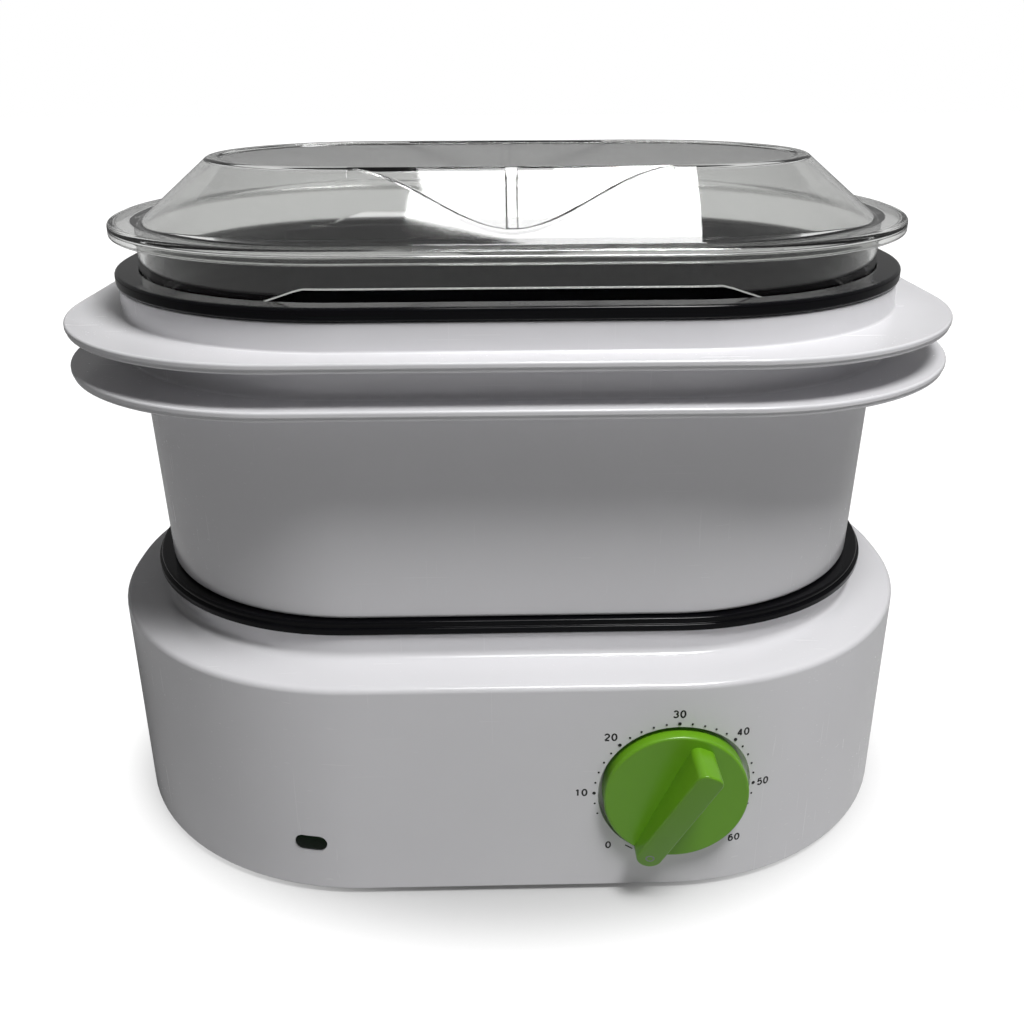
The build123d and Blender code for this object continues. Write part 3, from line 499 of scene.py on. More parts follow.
def rounded(section: Sequence[Corner], closed: bool, steps: int, at: Station) -> list[Corner]:
    """Rounds the corners of a section.

    Args:
        section: The corners in order.
        closed: Whether the last corner joins the first.
        steps: Steps of each rounding.
        at: The station, because corners on different cores lie apart by a different amount there.

    Returns:
        A finer section.
    """
    fine: list[Corner] = []
    count = len(section)
    spots = [Vector((at.reach(corner), corner.z)) for corner in section]
    for i, corner in enumerate(section):
        inner = closed or 0 < i < count - 1
        if corner.round <= 0 or not inner:
            fine.append(corner)
            continue
        here = spots[i]
        arms = [spots[i - 1] - here, spots[(i + 1) % count] - here]
        room = 0.45 * min(arms[0].length, arms[1].length)
        ways = [arm.normalized() for arm in arms]
        half = max(ways[0].angle(ways[1], math.pi) / 2, 0.05)
        reach = min(max(corner.round / math.tan(half), 0.02), room)
        start, end = here + ways[0] * reach, here + ways[1] * reach
        weight = math.sin(half)
        held = [here + way * min(reach + HOLD, 0.48 * arm.length) for way, arm in zip(ways, arms)]
        line = [held[0]]
        for k in range(steps + 1):
            f = k / steps
            share = ((1 - f) ** 2, 2 * weight * f * (1 - f), f ** 2)
            line.append((start * share[0] + here * share[1] + end * share[2]) / sum(share))
        line.append(held[1])
        base = spots[i].x - corner.offset
        fine += [Corner(spot.x - base, spot.y, 0.0, corner.core) for spot in line]
    return fine


SectionAt = Callable[[Station], Sequence[Corner]]


def mesh_of(shape: bmesh.types.BMesh, name: str) -> bpy.types.Mesh:
    """Makes a named mesh from a working one, which is freed."""
    mesh = bpy.data.meshes.new(name)
    shape.to_mesh(mesh)
    shape.free()
    return mesh


def ring_mesh(
    name: str, section: SectionAt, around: Sequence[Station], closed: bool
) -> bpy.types.Mesh:
    """Sweeps a section round the outline.

    Args:
        name: Name of the mesh.
        section: The section's corners at a station; their number never changes.
        around: The stations.
        closed: Whether the section is a loop; if not, its two ends are capped.

    Returns:
        The mesh, with its faces pointing out.
    """
    shape = bmesh.new()
    columns = [[shape.verts.new(place.point(c)) for c in section(place)] for place in around]
    rows = len(columns[0])
    for i, column in enumerate(columns):
        following = columns[(i + 1) % len(columns)]
        for j in range(rows if closed else rows - 1):
            k = (j + 1) % rows
            shape.faces.new((column[j], following[j], following[k], column[k]))
    if not closed:
        shape.faces.new([column[0] for column in reversed(columns)])
        shape.faces.new([column[-1] for column in columns])
    bmesh.ops.recalc_face_normals(shape, faces=shape.faces)
    return mesh_of(shape, name)


def smooth(mesh: bpy.types.Mesh, angle: float = SMOOTH_ANGLE) -> None:
    """Shades a mesh smooth, with sharp edges above an angle."""
    mesh.polygons.foreach_set("use_smooth", [True] * len(mesh.polygons))
    mesh.set_sharp_from_angle(angle=angle)


def linked(name: str, mesh: bpy.types.Mesh) -> bpy.types.Object:
    """Links a new object for a mesh."""
    made = bpy.data.objects.new(name, mesh)
    bpy.context.scene.collection.objects.link(made)
    return made


def discard(piece: bpy.types.Object) -> None:
    """Deletes an object and its mesh."""
    mesh = piece.data
    bpy.data.objects.remove(piece)
    bpy.data.meshes.remove(mesh)


def wall(
    name: str, section: Sequence[Corner], closed: bool = True, steps: int = 5
) -> bpy.types.Object:
    """A wall of one section all round, as a piece."""
    mesh = ring_mesh(name, lambda at: rounded(section, closed, steps, at), ROUND, closed)
    smooth(mesh)
    return linked(name, mesh)


def join(first: bpy.types.Object, others: Sequence[bpy.types.Object]) -> bpy.types.Object:
    """Joins meshes into the first object."""
    shape = bmesh.new()
    for part in (first, *others):
        shape.from_mesh(part.data)
    shape.to_mesh(first.data)
    shape.free()
    for part in others:
        discard(part)
    smooth(first.data)
    return first


def combine(piece: bpy.types.Object, tool: bpy.types.Object, operation: str) -> None:
    """Applies a boolean with a tool and deletes the tool."""
    step = piece.modifiers.new("combine", "BOOLEAN")
    step.operation = operation
    step.solver = "EXACT"
    step.object = tool
    bake(piece)
    discard(tool)


def bake(piece: bpy.types.Object) -> None:
    """Replaces a piece's mesh with its evaluated one and removes its modifiers."""
    graph = bpy.context.evaluated_depsgraph_get()
    mesh = bpy.data.meshes.new_from_object(piece.evaluated_get(graph))
    old = piece.data
    piece.modifiers.clear()
    piece.data = mesh
    mesh.name = piece.name
    if old.users == 0:
        bpy.data.meshes.remove(old)


def turned(
    name: str, section: Sequence[Corner], frame: Matrix, steps: int = 96, closed: bool = False
) -> bpy.types.Object:
    """Turns a section about an axis, as on a lathe.

    Args:
        name: Name of the object.
        section: Radius (offset) and height (z) along the axis.
        frame: Where the axis stands; its Z is the axis.
        steps: Steps round the axis.
        closed: Whether the section is a loop.

    Returns:
        The object.
    """
    turns = [2 * math.pi * i / steps for i in range(steps)]
    around = [Station(0, 0, math.cos(turn), math.sin(turn)) for turn in turns]
    mesh = ring_mesh(name, lambda at: rounded(section, closed, 4, at), around, closed)
    mesh.transform(frame)
    smooth(mesh)
    return linked(name, mesh)


def frame_of(origin: Vector, x_axis: Vector, z_axis: Vector) -> Matrix:
    """A frame in metres from an origin in millimetres and two axes."""
    y_axis = z_axis.cross(x_axis)
    turn = Matrix((x_axis, y_axis, z_axis)).transposed().to_4x4()
    return Matrix.Translation(origin * MM) @ turn


def prism(
    name: str, plan: Sequence[tuple[float, float]], low: float, high: float, frame: Matrix
) -> bpy.types.Object:
    """A straight prism over a plan, between two heights of a frame."""
    shape = bmesh.new()
    bottom = [shape.verts.new(Vector((x, y, low)) * MM) for x, y in plan]
    top = [shape.verts.new(Vector((x, y, high)) * MM) for x, y in plan]
    count = len(plan)
    for i in range(count):
        k = (i + 1) % count
        shape.faces.new((bottom[i], bottom[k], top[k], top[i]))
    shape.faces.new(list(reversed(bottom)))
    shape.faces.new(top)
    bmesh.ops.recalc_face_normals(shape, faces=shape.faces)
    mesh = mesh_of(shape, name)
    mesh.transform(frame)
    smooth(mesh)
    return linked(name, mesh)


def oblong(length: float, height: float, steps: int = 12) -> list[tuple[float, float]]:
    """The plan of a slot with round ends, along X."""
    radius = height / 2
    half = length / 2 - radius
    plan = []
    for side in (1, -1):
        for i in range(steps + 1):
            angle = math.pi * (i / steps - 0.5)
            plan.append((side * (half + radius * math.cos(angle)), side * radius * math.sin(angle)))
    return plan


# ---------------------------------------------------------------- geometry nodes
class GeometryTree(Graph):
    """A Geometry Nodes tree with named inputs."""

    def __init__(self, name: str, sizes: dict[str, float]) -> None:
        """Starts a tree.

        Args:
            name: Name of the tree.
            sizes: Named number inputs and their values.
        """
        super().__init__(bpy.data.node_groups.new(name, "GeometryNodeTree"))
        face = self.tree.interface
        face.new_socket("Geometry", in_out="INPUT", socket_type="NodeSocketGeometry")
        for key in sizes:
            face.new_socket(key, in_out="INPUT", socket_type="NodeSocketFloat")
        face.new_socket("Geometry", in_out="OUTPUT", socket_type="NodeSocketGeometry")
        self.sizes = sizes
        self.entry = self.tree.nodes.new("NodeGroupInput")

    def size(self, key: str) -> Value:
        """The socket of a named input."""
        return Value(self, self.entry.outputs[key])

    def vector(self, x: Value | float, y: Value | float, z: Value | float) -> Value:
        """A vector from three numbers."""
        return self.node("ShaderNodeCombineXYZ", None, {0: x, 1: y, 2: z})

    def joined(self, *parts: Value) -> Value:
        """Several geometries as one."""
        both = self.tree.nodes.new("GeometryNodeJoinGeometry")
        for part in parts:
            self.tree.links.new(part.socket, both.inputs[0])
        return Value(self, both.outputs[0])

    def piece(self, name: str, result: Value, finish: Finish) -> bpy.types.Object:
        """Realizes the tree's result as a plain mesh.

        Args:
            name: Name of the object.
            result: The geometry.
            finish: The finish that the tree sets.

        Returns:
            An object at the origin with no modifiers.
        """
        real = self.node("GeometryNodeRealizeInstances", None, {"Geometry": result})
        inputs = {"Geometry": real, "Material": finish.material()}
        dressed = self.node("GeometryNodeSetMaterial", None, inputs)
        self.node("NodeGroupOutput", None, {0: dressed})
        made = linked(name, bpy.data.meshes.new(name))
        step = made.modifiers.new(name, "NODES")
        step.node_group = self.tree
        for item in self.tree.interface.items_tree:
            if item.in_out == "INPUT" and item.name in self.sizes:
                step[item.identifier] = float(self.sizes[item.name])
        bake(made)
        smooth(made.data)
        return made


def perforated_plate(
    name: str,
    reach: float,
    low: float,
    thick: float,
    slot: tuple[float, float],
    pitch: tuple[float, float],
    finish: Finish,
) -> bpy.types.Object:
    """A flat plate inside an outline, with staggered rows of slots.

    Args:
        name: Name of the object.
        reach: Offset of the plate's edge from the core.
        low: Height of its underside.
        thick: Its thickness.
        slot: Length and width of a slot.
        pitch: Distance between slots along and across.
        finish: Its finish.

    Returns:
        The plate.
    """
    sizes = {
        "Half length": STACK.half_x + reach,
        "Half depth": STACK.half_y + reach,
        "Edge radius": reach,
        "Slot length": slot[0],
        "Slot width": slot[1],
        "Pitch along": pitch[0],
        "Pitch across": pitch[1],
        "Margin": 1.0,
        "Underside": low,
        "Thickness": thick,
    }
    tree = GeometryTree(name, {key: value * MM for key, value in sizes.items()})
    size = tree.size
    edge = tree.node(
        "GeometryNodeCurvePrimitiveQuadrilateral",
        None,
        {"Width": size("Half length") * 2.0, "Height": size("Half depth") * 2.0},
    )
    corner = {"Curve": edge, "Count": 24, "Radius": size("Edge radius")}
    rim = tree.node("GeometryNodeFilletCurve", {"mode": "POLY"}, corner)
    columns, rows = 15, 13
    grid = tree.node(
        "GeometryNodeMeshGrid",
        None,
        {
            "Size X": size("Pitch along") * float(columns - 1),
            "Size Y": size("Pitch across") * float(rows - 1),
            "Vertices X": columns,
            "Vertices Y": rows,
        },
    )
    spot = tree.node("GeometryNodeInputPosition")
    parts = tree.tree.nodes.new("ShaderNodeSeparateXYZ")
    tree.tree.links.new(spot.socket, parts.inputs[0])
    x, y = Value(tree, parts.outputs[0]), Value(tree, parts.outputs[1])
    row = (y / size("Pitch across")).function("ROUND").function("ABSOLUTE")
    shift = row.function("MODULO", 2.0) * size("Pitch along") * 0.5
    inputs = {"Geometry": grid, "Offset": tree.vector(shift, 0.0, 0.0)}
    moved = tree.node("GeometryNodeSetPosition", None, inputs)
    flat_x = size("Half length") - size("Edge radius")
    flat_y = size("Half depth") - size("Edge radius")
    over_x = (x.function("ABSOLUTE") - flat_x).function("MAXIMUM", 0.0)
    over_y = (y.function("ABSOLUTE") - flat_y).function("MAXIMUM", 0.0)
    span = (over_x * over_x + over_y * over_y).function("SQRT")
    outside = span > (size("Edge radius") - size("Margin") - size("Slot length") * 0.5)
    inputs = {"Geometry": moved, "Selection": outside}
    kept = tree.node("GeometryNodeDeleteGeometry", {"domain": "POINT"}, inputs)
    inputs = {"Width": size("Slot length"), "Height": size("Slot width")}
    hole = tree.node("GeometryNodeCurvePrimitiveQuadrilateral", None, inputs)
    inputs = {"Curve": hole, "Count": 6, "Radius": size("Slot width") * 0.499}
    hole = tree.node("GeometryNodeFilletCurve", {"mode": "POLY"}, inputs)
    holes = tree.node("GeometryNodeInstanceOnPoints", None, {"Points": kept, "Instance": hole})
    holes = tree.node("GeometryNodeRealizeInstances", None, {"Geometry": holes})
    sheet = tree.node(
        "GeometryNodeFillCurve", {"mode": "TRIANGLES"}, {"Curve": tree.joined(rim, holes)}
    )
    inputs = {"Geometry": sheet, "Offset": tree.vector(0.0, 0.0, size("Underside"))}
    base = tree.node("GeometryNodeSetPosition", None, inputs)
    up = tree.vector(0.0, 0.0, 1.0)
    inputs = {"Mesh": base, "Offset": up, "Offset Scale": size("Thickness"), "Individual": False}
    lifted = tree.node("GeometryNodeExtrudeMesh", {"mode": "FACES"}, inputs)
    under = tree.node("GeometryNodeFlipFaces", None, {"Mesh": base})
    inputs = {"Geometry": tree.joined(lifted, under), "Distance": 1e-5}
    closed = tree.node("GeometryNodeMergeByDistance", None, inputs)
    return tree.piece(name, closed, finish)


def copies(
    name: str, unit: bpy.types.Object, spots: Sequence[tuple[float, float, float]], finish: Finish
) -> bpy.types.Object:
    """Instances one small object on a few spots with Geometry Nodes.

    Args:
        name: Name of the result.
        unit: The object at the origin; it is deleted afterwards.
        spots: Places in millimetres.
        finish: Its finish.

    Returns:
        One plain mesh.
    """
    tree = GeometryTree(name, {"Unit scale": 1.0})
    points = bpy.data.meshes.new(name + "_spots")
    points.from_pydata([Vector(s) * MM for s in spots], [], [])
    holder = linked(name + "_spots", points)
    source = tree.node("GeometryNodeObjectInfo", None, {"Object": holder}, "Geometry")
    item = tree.node("GeometryNodeObjectInfo", None, {"Object": unit}, "Geometry")
    scale = tree.vector(tree.size("Unit scale"), tree.size("Unit scale"), tree.size("Unit scale"))
    inputs = {"Points": source, "Instance": item, "Scale": scale}
    made = tree.piece(name, tree.node("GeometryNodeInstanceOnPoints", None, inputs), finish)
    discard(holder)
    discard(unit)
    return made


def four_spots(along: float, across: float) -> list[tuple[float, float, float]]:
    """The four corners of a rectangle round the upright axis, from its half sides."""
    return [(sx * along, sy * across, 0.0) for sx in (-1, 1) for sy in (-1, 1)]


# ---------------------------------------------------------------- sub-assemblies
class Body(Enum):
    """The rigid bodies of the frame."""

    BASE = "base"
    KNOB = "knob"
    STEAM_RING = "steam_ring"
    DRIP_TRAY = "drip_tray"
    LOWER_BASKET = "lower_basket"
    UPPER_BASKET = "upper_basket"
    FOOD_INSERT = "food_insert"
    LID = "lid"


def dress(
    piece: bpy.types.Object, finish: Finish, body: Body, stands_for: Sequence[str] = ()
) -> bpy.types.Object:
    """Gives a piece its finish, its body and the nodes that it stands for.

    Args:
        piece: The finished object.
        finish: Its finish.
        body: The body that it rides on.
        stands_for: Frame nodes that it replaces.

    Returns:
        The same object.
    """
    piece.data.transform(Matrix.Translation(AXIS_SHIFT))
    piece.data.materials.clear()
    piece.data.materials.append(finish.material())
    for polygon in piece.data.polygons:
        polygon.material_index = 0
    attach(piece, body.value)
    if stands_for:
        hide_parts(*stands_for)
    LOG.info("%s: %d faces on %s", piece.name, len(piece.data.polygons), body.value)
    return piece


@dataclass
class Base:
    """White casing with its dial recess, lens slot and mains inlet."""

    foot: float = 117.0
    foot_z: float = 2.5
    shoulder: float = 116.5
    shoulder_z: float = 100.2
    neck: float = 96.0
    neck_foot_z: float = 102.3
    neck_top_z: float = 112.5
    neck_bore: float = 94.2
    shelf: float = 92.9
    shelf_z: float = 109.0
    wall: float = 2.8
    recess_radius: float = 31.2
    recess_floor_y: float = -115.6
    recess_wall: float = 2.4
    dial_x: float = 64.0
    dial_z: float = 49.9
    pad_short: float = 1.6
    pad_inset: float = 0.1
    pad_margin: float = 1.0
    lens_along: float = 84.8
    lens_z: float = 25.7
    lens_slot: tuple[float, float] = (13.8, 7.0)
    lens_face: tuple[float, float] = (13.4, 6.6)
    lens_depth: float = 4.4
    lens_proud: float = 0.3
    lens_edge: float = 0.7
    inlet: tuple[float, float] = (-40.0, 22.0)
    inlet_radius: float = 6.3
    inlet_start: float = 3.0
    inlet_cut: float = 12.0
    foot_spots: tuple[float, float] = (118.0, 70.0)
    foot_radius: float = 9.0
    foot_height: float = 4.5
    plug_radius: float = 2.6
    plug_top: float = 8.4
    screw_offset: float = 102.0
    screw_angle: float = 42.0
    head_radius: float = 3.1
    head_low: float = 3.1
    shank_radius: float = 1.5
    shank_top: float = 16.5
    cross: tuple[float, float] = (3.8, 0.7)

    def offset_at(self, z: float) -> float:
        """The outer wall's offset at a height."""
        share = (z - self.foot_z) / (self.shoulder_z - self.foot_z)
        return self.foot - (self.foot - self.shoulder) * share

    def on_front(self, along: float, z: float, lift: float = 0.0) -> tuple[Vector, Vector]:
        """A point on the front wall and the way out of it.

        Args:
            along: Distance from the middle along the wall, positive to the right.
            z: Height.
            lift: Distance out of the wall.

        Returns:
            The point in millimetres and the unit normal.
        """
        radius = self.offset_at(z)
        side = 1 if along >= 0 else -1
        turn = max(0.0, abs(along) - STACK.half_x) / radius
        out = Vector((side * math.sin(turn), -math.cos(turn), 0))
        middle = Vector((side * min(abs(along), STACK.half_x), -STACK.half_y, z))
        return middle + out * (radius + lift), out

    def front_frame(self, along: float, z: float) -> Matrix:
        """A frame on the front wall: X along it to the right, Y up and Z out."""
        point, out = self.on_front(along, z)
        return frame_of(point, Vector((-out.y, out.x, 0)), out)

    def casing(self) -> bpy.types.Object:
        """The casing with its recess and holes."""
        under = self.shoulder_z - self.wall
        section = (
            Corner(self.foot, self.foot_z, 0.8),
            Corner(self.shoulder, self.shoulder_z, 2.4),
            Corner(self.neck, self.neck_foot_z, 3.0),
            Corner(self.neck, self.neck_top_z, 0.5),
            Corner(self.neck_bore, self.neck_top_z, 0.3),
            Corner(self.neck_bore, self.shelf_z),
            Corner(self.shelf, self.shelf_z),
            Corner(self.shelf, under),
            Corner(self.shoulder - self.wall, under, 2.0),
            Corner(self.foot - self.wall, self.foot_z),
        )
        casing = wall("casing", section, True, 8)
        middle = Vector((self.dial_x, 0, self.dial_z))
        inward = frame_of(middle, Vector((1, 0, 0)), Vector((0, -1, 0)))
        floor = -self.recess_floor_y
        front = STACK.half_y + self.foot
        rim = self.recess_radius + self.recess_wall
        pad = self.drum("pad", rim, floor - self.recess_wall, front - self.pad_short, inward)
        tall = rim + self.pad_margin
        within = [
            Corner(self.offset_at(z) - self.pad_inset, z)
            for z in (self.dial_z - tall, self.dial_z + tall)
        ]
        combine(pad, wall("within", within, False), "INTERSECT")
        combine(casing, pad, "UNION")
        recess = self.drum("cutter", self.recess_radius, floor, front + CUT_PAST, inward)
        combine(casing, recess, "DIFFERENCE")
        on_wall = self.front_frame(-self.lens_along, self.lens_z)
        slot = prism("slot", oblong(*self.lens_slot, 16), -2 * CUT_PAST, CUT_PAST, on_wall)
        combine(casing, slot, "DIFFERENCE")
        hole = Vector((self.inlet[0], front + self.inlet_start, self.inlet[1]))
        from_back = frame_of(hole, Vector((1, 0, 0)), Vector((0, -1, 0)))
        inlet = self.drum("inlet", self.inlet_radius, 0, self.inlet_cut, from_back)
        combine(casing, inlet, "DIFFERENCE")
        smooth(casing.data)
        return dress(casing, WHITE, Body.BASE, ("base_housing",))

    @staticmethod
    def drum(name: str, radius: float, low: float, high: float, frame: Matrix) -> bpy.types.Object:
        """A plain cylinder that only serves as a boolean tool."""
        section = [
            Corner(AXIS, low),
            Corner(radius, low),
            Corner(radius, high),
            Corner(AXIS, high),
        ]
        return turned(name, section, frame, 128)

    def lens(self) -> bpy.types.Object:
        """The pilot lens, crowned and set a little back in its slot."""
        frame = self.front_frame(-self.lens_along, self.lens_z)
        plan = oblong(*self.lens_face, 16)
        lens = prism("pilot_lens_face", plan, -self.lens_depth, self.lens_proud, frame)
        step = lens.modifiers.new("edge", "BEVEL")
        step.width = self.lens_edge * MM
        step.segments = 4
        step.limit_method = "ANGLE"
        step.angle_limit = math.radians(50)
        bake(lens)
        smooth(lens.data)
        return dress(lens, LENS, Body.BASE, ("pilot_lens",))

    def feet(self) -> bpy.types.Object:
        """Four rubber feet."""
        section = (
            Corner(AXIS, 0.0),
            Corner(self.foot_radius, 0.0, 0.9),
            Corner(self.foot_radius, self.foot_height, 0.3),
            Corner(self.plug_radius, self.foot_height),
            Corner(self.plug_radius, self.plug_top, 0.5),
            Corner(AXIS, self.plug_top),
        )
        unit = turned("foot_unit", section, Matrix(), 48)
        feet = copies("feet", unit, four_spots(*self.foot_spots), FEET)
        return dress(feet, FEET, Body.BASE, ("rubber_feet",))

    def screws(self) -> bpy.types.Object:
        """Four cover screws with a cross recess."""
        section = (
            Corner(AXIS, self.head_low),
            Corner(self.head_radius, self.head_low, 0.8),
            Corner(self.head_radius, self.head_low + 1.4),
            Corner(self.shank_radius, self.head_low + 1.5),
            Corner(self.shank_radius, self.shank_top, 0.6),
            Corner(AXIS, self.shank_top),
        )
        unit = turned("screw_unit", section, Matrix(), 32)
        x, y = (size / 2 for size in self.cross)
        for turn in (0.0, math.pi / 2):
            plan = [(-x, -y), (x, -y), (x, y), (-x, y)]
            bar = prism("bar", plan, 2.0, 4.0, Matrix.Rotation(turn, 4, "Z"))
            combine(unit, bar, "DIFFERENCE")
        turn = math.radians(self.screw_angle)
        along = STACK.half_x + self.screw_offset * math.cos(turn)
        across = STACK.half_y + self.screw_offset * math.sin(turn)
        screws = copies("cover_screw_set", unit, four_spots(along, across), STEEL)
        return dress(screws, STEEL, Body.BASE, ("cover_screws",))

    def build(self) -> None:
        """Builds and dresses the casing's pieces."""
        self.casing()
        self.lens()
        self.feet()
        self.screws()


Pen = list[tuple[float, float]]


def bow(middle: tuple[float, float], half: tuple[float, float], first: float, last: float) -> Pen:
    """A stroke along part of an ellipse, between two angles in degrees from +X."""
    steps = 20
    turns = [math.radians(first + (last - first) * i / steps) for i in range(steps + 1)]
    x, y = middle
    return [(x + half[0] * math.cos(turn), y + half[1] * math.sin(turn)) for turn in turns]


DIGITS: dict[str, list[Pen]] = {
    "0": [bow((0.0, 0.0), (0.5, 0.5), 0, 360)],
    "1": [[(0.1, -0.5), (0.1, 0.5)], [(0.1, 0.5), (-0.06, 0.36), (-0.3, 0.3)]],
    "2": [
        bow((0.0, 0.21), (0.45, 0.29), 165, -30) + [(-0.45, -0.47)],
        [(-0.47, -0.5), (0.48, -0.5)],
    ],
    "3": [bow((0.0, 0.25), (0.42, 0.25), 160, -90), bow((0.0, -0.24), (0.48, 0.26), 90, -160)],
    "4": [[(0.22, -0.5), (0.22, 0.5)], [(0.22, 0.5), (-0.5, -0.2)], [(-0.5, -0.22), (0.5, -0.22)]],
    "5": [[(0.38, 0.5), (-0.32, 0.5), (-0.43, 0.0)], bow((0.0, -0.16), (0.48, 0.34), 155, -155)],
    "6": [bow((0.0, -0.18), (0.48, 0.32), 0, 360), bow((0.06, 0.0), (0.54, 0.5), 60, 200)],
}


@dataclass
class Dial:
    """Printed scale round the knob: dots, numbers and a dash."""

    base: Base
    radius: float = 32.8
    start: float = -135.0
    step: float = 9.0
    major_radius: float = 0.72
    minor_radius: float = 0.44
    thick: float = 0.06
    digit_height: float = 3.7
    digit_width: float = 2.5
    digit_gap: float = 0.35
    stroke: float = 0.72
    dash_angle: float = -147.3
    dash_size: tuple[float, float] = (3.7, 0.55)
    dots_each: int = 5
    dot_count: int = 31
    numbers: dict[str, tuple[float, float]] = field(
        default_factory=lambda: {
            "0": (37.7, 23.5),
            "10": (25.9, 50.3),
            "20": (37.1, 76.8),
            "30": (63.7, 87.1),
            "40": (90.5, 76.2),
            "50": (101.7, 49.7),
            "60": (90.7, 23.6),
        }
    )

    def dots(self) -> bpy.types.Object:
        """One dot for every two minutes, larger every ten, laid on the wall by Geometry Nodes."""
        sizes = {
            "Dial radius": self.radius * MM,
            "Dial x": self.base.dial_x * MM,
            "Dial z": self.base.dial_z * MM,
            "First angle": math.radians(self.start),
            "Step": math.radians(self.step),
            "Major radius": self.major_radius * MM,
            "Minor radius": self.minor_radius * MM,
            "Wall offset": self.base.offset_at(self.base.dial_z) * MM,
            "Core x": STACK.half_x * MM,
            "Core y": STACK.half_y * MM,
        }
        tree = GeometryTree("dial_dots", sizes)
        size = tree.size
        index = tree.node("GeometryNodeInputIndex")
        angle = size("First angle") + size("Step") * index
        x = size("Dial x") + size("Dial radius") * angle.function("SINE")
        z = size("Dial z") + size("Dial radius") * angle.function("COSINE")
        over = (x - size("Core x")).function("MAXIMUM", 0.0)
        radius = size("Wall offset")
        depth = (radius * radius - over * over).function("SQRT")
        y = (depth + size("Core y")) * -1.0
        inputs = {"Count": self.dot_count, "Position": tree.vector(x, y, z)}
        spots = tree.node("GeometryNodePoints", None, inputs)
        major = 1.0 - (index.function("MODULO", float(self.dots_each)) > 0.5)
        scale = size("Minor radius") + (size("Major radius") - size("Minor radius")) * major
        inputs = {"Vertices": 20, "Radius": 1.0, "Depth": 2 * self.thick * MM}
        disc = tree.node("GeometryNodeMeshCylinder", None, inputs, "Mesh")
        turn = (over / radius).function("ARCSINE")
        inputs = {
            "Points": spots,
            "Instance": disc,
            "Rotation": tree.vector(math.pi / 2, 0.0, turn),
            "Scale": tree.vector(scale, scale, 1.0),
        }
        laid = tree.node("GeometryNodeInstanceOnPoints", None, inputs)
        return tree.piece("dial_dots", laid, INK)

    def wrap(self, mesh: bpy.types.Mesh, middle: tuple[float, float]) -> None:
        """Bends a flat drawing in X and Y onto the front wall; its Z becomes the lift."""
        for vertex in mesh.vertices:
            x, y, lift = (c / MM for c in vertex.co)
            point, _ = self.base.on_front(middle[0] + x, middle[1] + y, lift)
            vertex.co = point * MM

    def number(self, text: str, middle: tuple[float, float]) -> bpy.types.Object:
        """One printed number, its digits drawn with a round pen.

        Args:
            text: Its digits.
            middle: Its middle along the wall and in height.

        Returns:
            Its mesh object.
        """
        curve = bpy.data.curves.new("number", "CURVE")
        curve.dimensions = "3D"
        curve.bevel_depth = self.stroke / 2 * MM
        curve.bevel_resolution = 1
        curve.use_fill_caps = True
        pitch = self.digit_width + self.digit_gap
        narrow = self.digit_width - self.stroke
        tall = self.digit_height - self.stroke
        for place_in_text, digit in enumerate(text):
            left = pitch * (place_in_text - (len(text) - 1) / 2)
            for pen in DIGITS[digit]:
                spline = curve.splines.new("POLY")
                spline.points.add(len(pen) - 1)
                for point, (x, y) in zip(spline.points, pen):
                    point.co = ((left + x * narrow) * MM, y * tall * MM, 0.0, 1.0)
        holder = linked("number_curve", curve)
        graph = bpy.context.evaluated_depsgraph_get()
        mesh = bpy.data.meshes.new_from_object(holder.evaluated_get(graph))
        bpy.data.objects.remove(holder)
        bpy.data.curves.remove(curve)
        mesh.transform(Matrix.Diagonal((1.0, 1.0, 2 * self.thick / self.stroke, 1.0)))
        self.wrap(mesh, middle)
        return linked("number_" + text, mesh)

    def dash(self) -> bpy.types.Object:
        """The short stroke before zero, along the circle."""
        turn = math.radians(self.dash_angle)
        along = self.base.dial_x + self.radius * math.sin(turn)
        middle = (along, self.base.dial_z + self.radius * math.cos(turn))
        lean = Matrix.Rotation(-turn, 4, "Z")
        stroke = prism("dash", oblong(*self.dash_size, 6), -self.thick, self.thick, lean)
        self.wrap(stroke.data, middle)
        return stroke

    def build(self) -> None:
        """Prints the scale as one piece."""
        marks = [self.number(text, middle) for text, middle in self.numbers.items()]
        scale = join(self.dots(), [*marks, self.dash()])
        scale.name = "dial_scale"
        dress(scale, INK, Body.BASE)


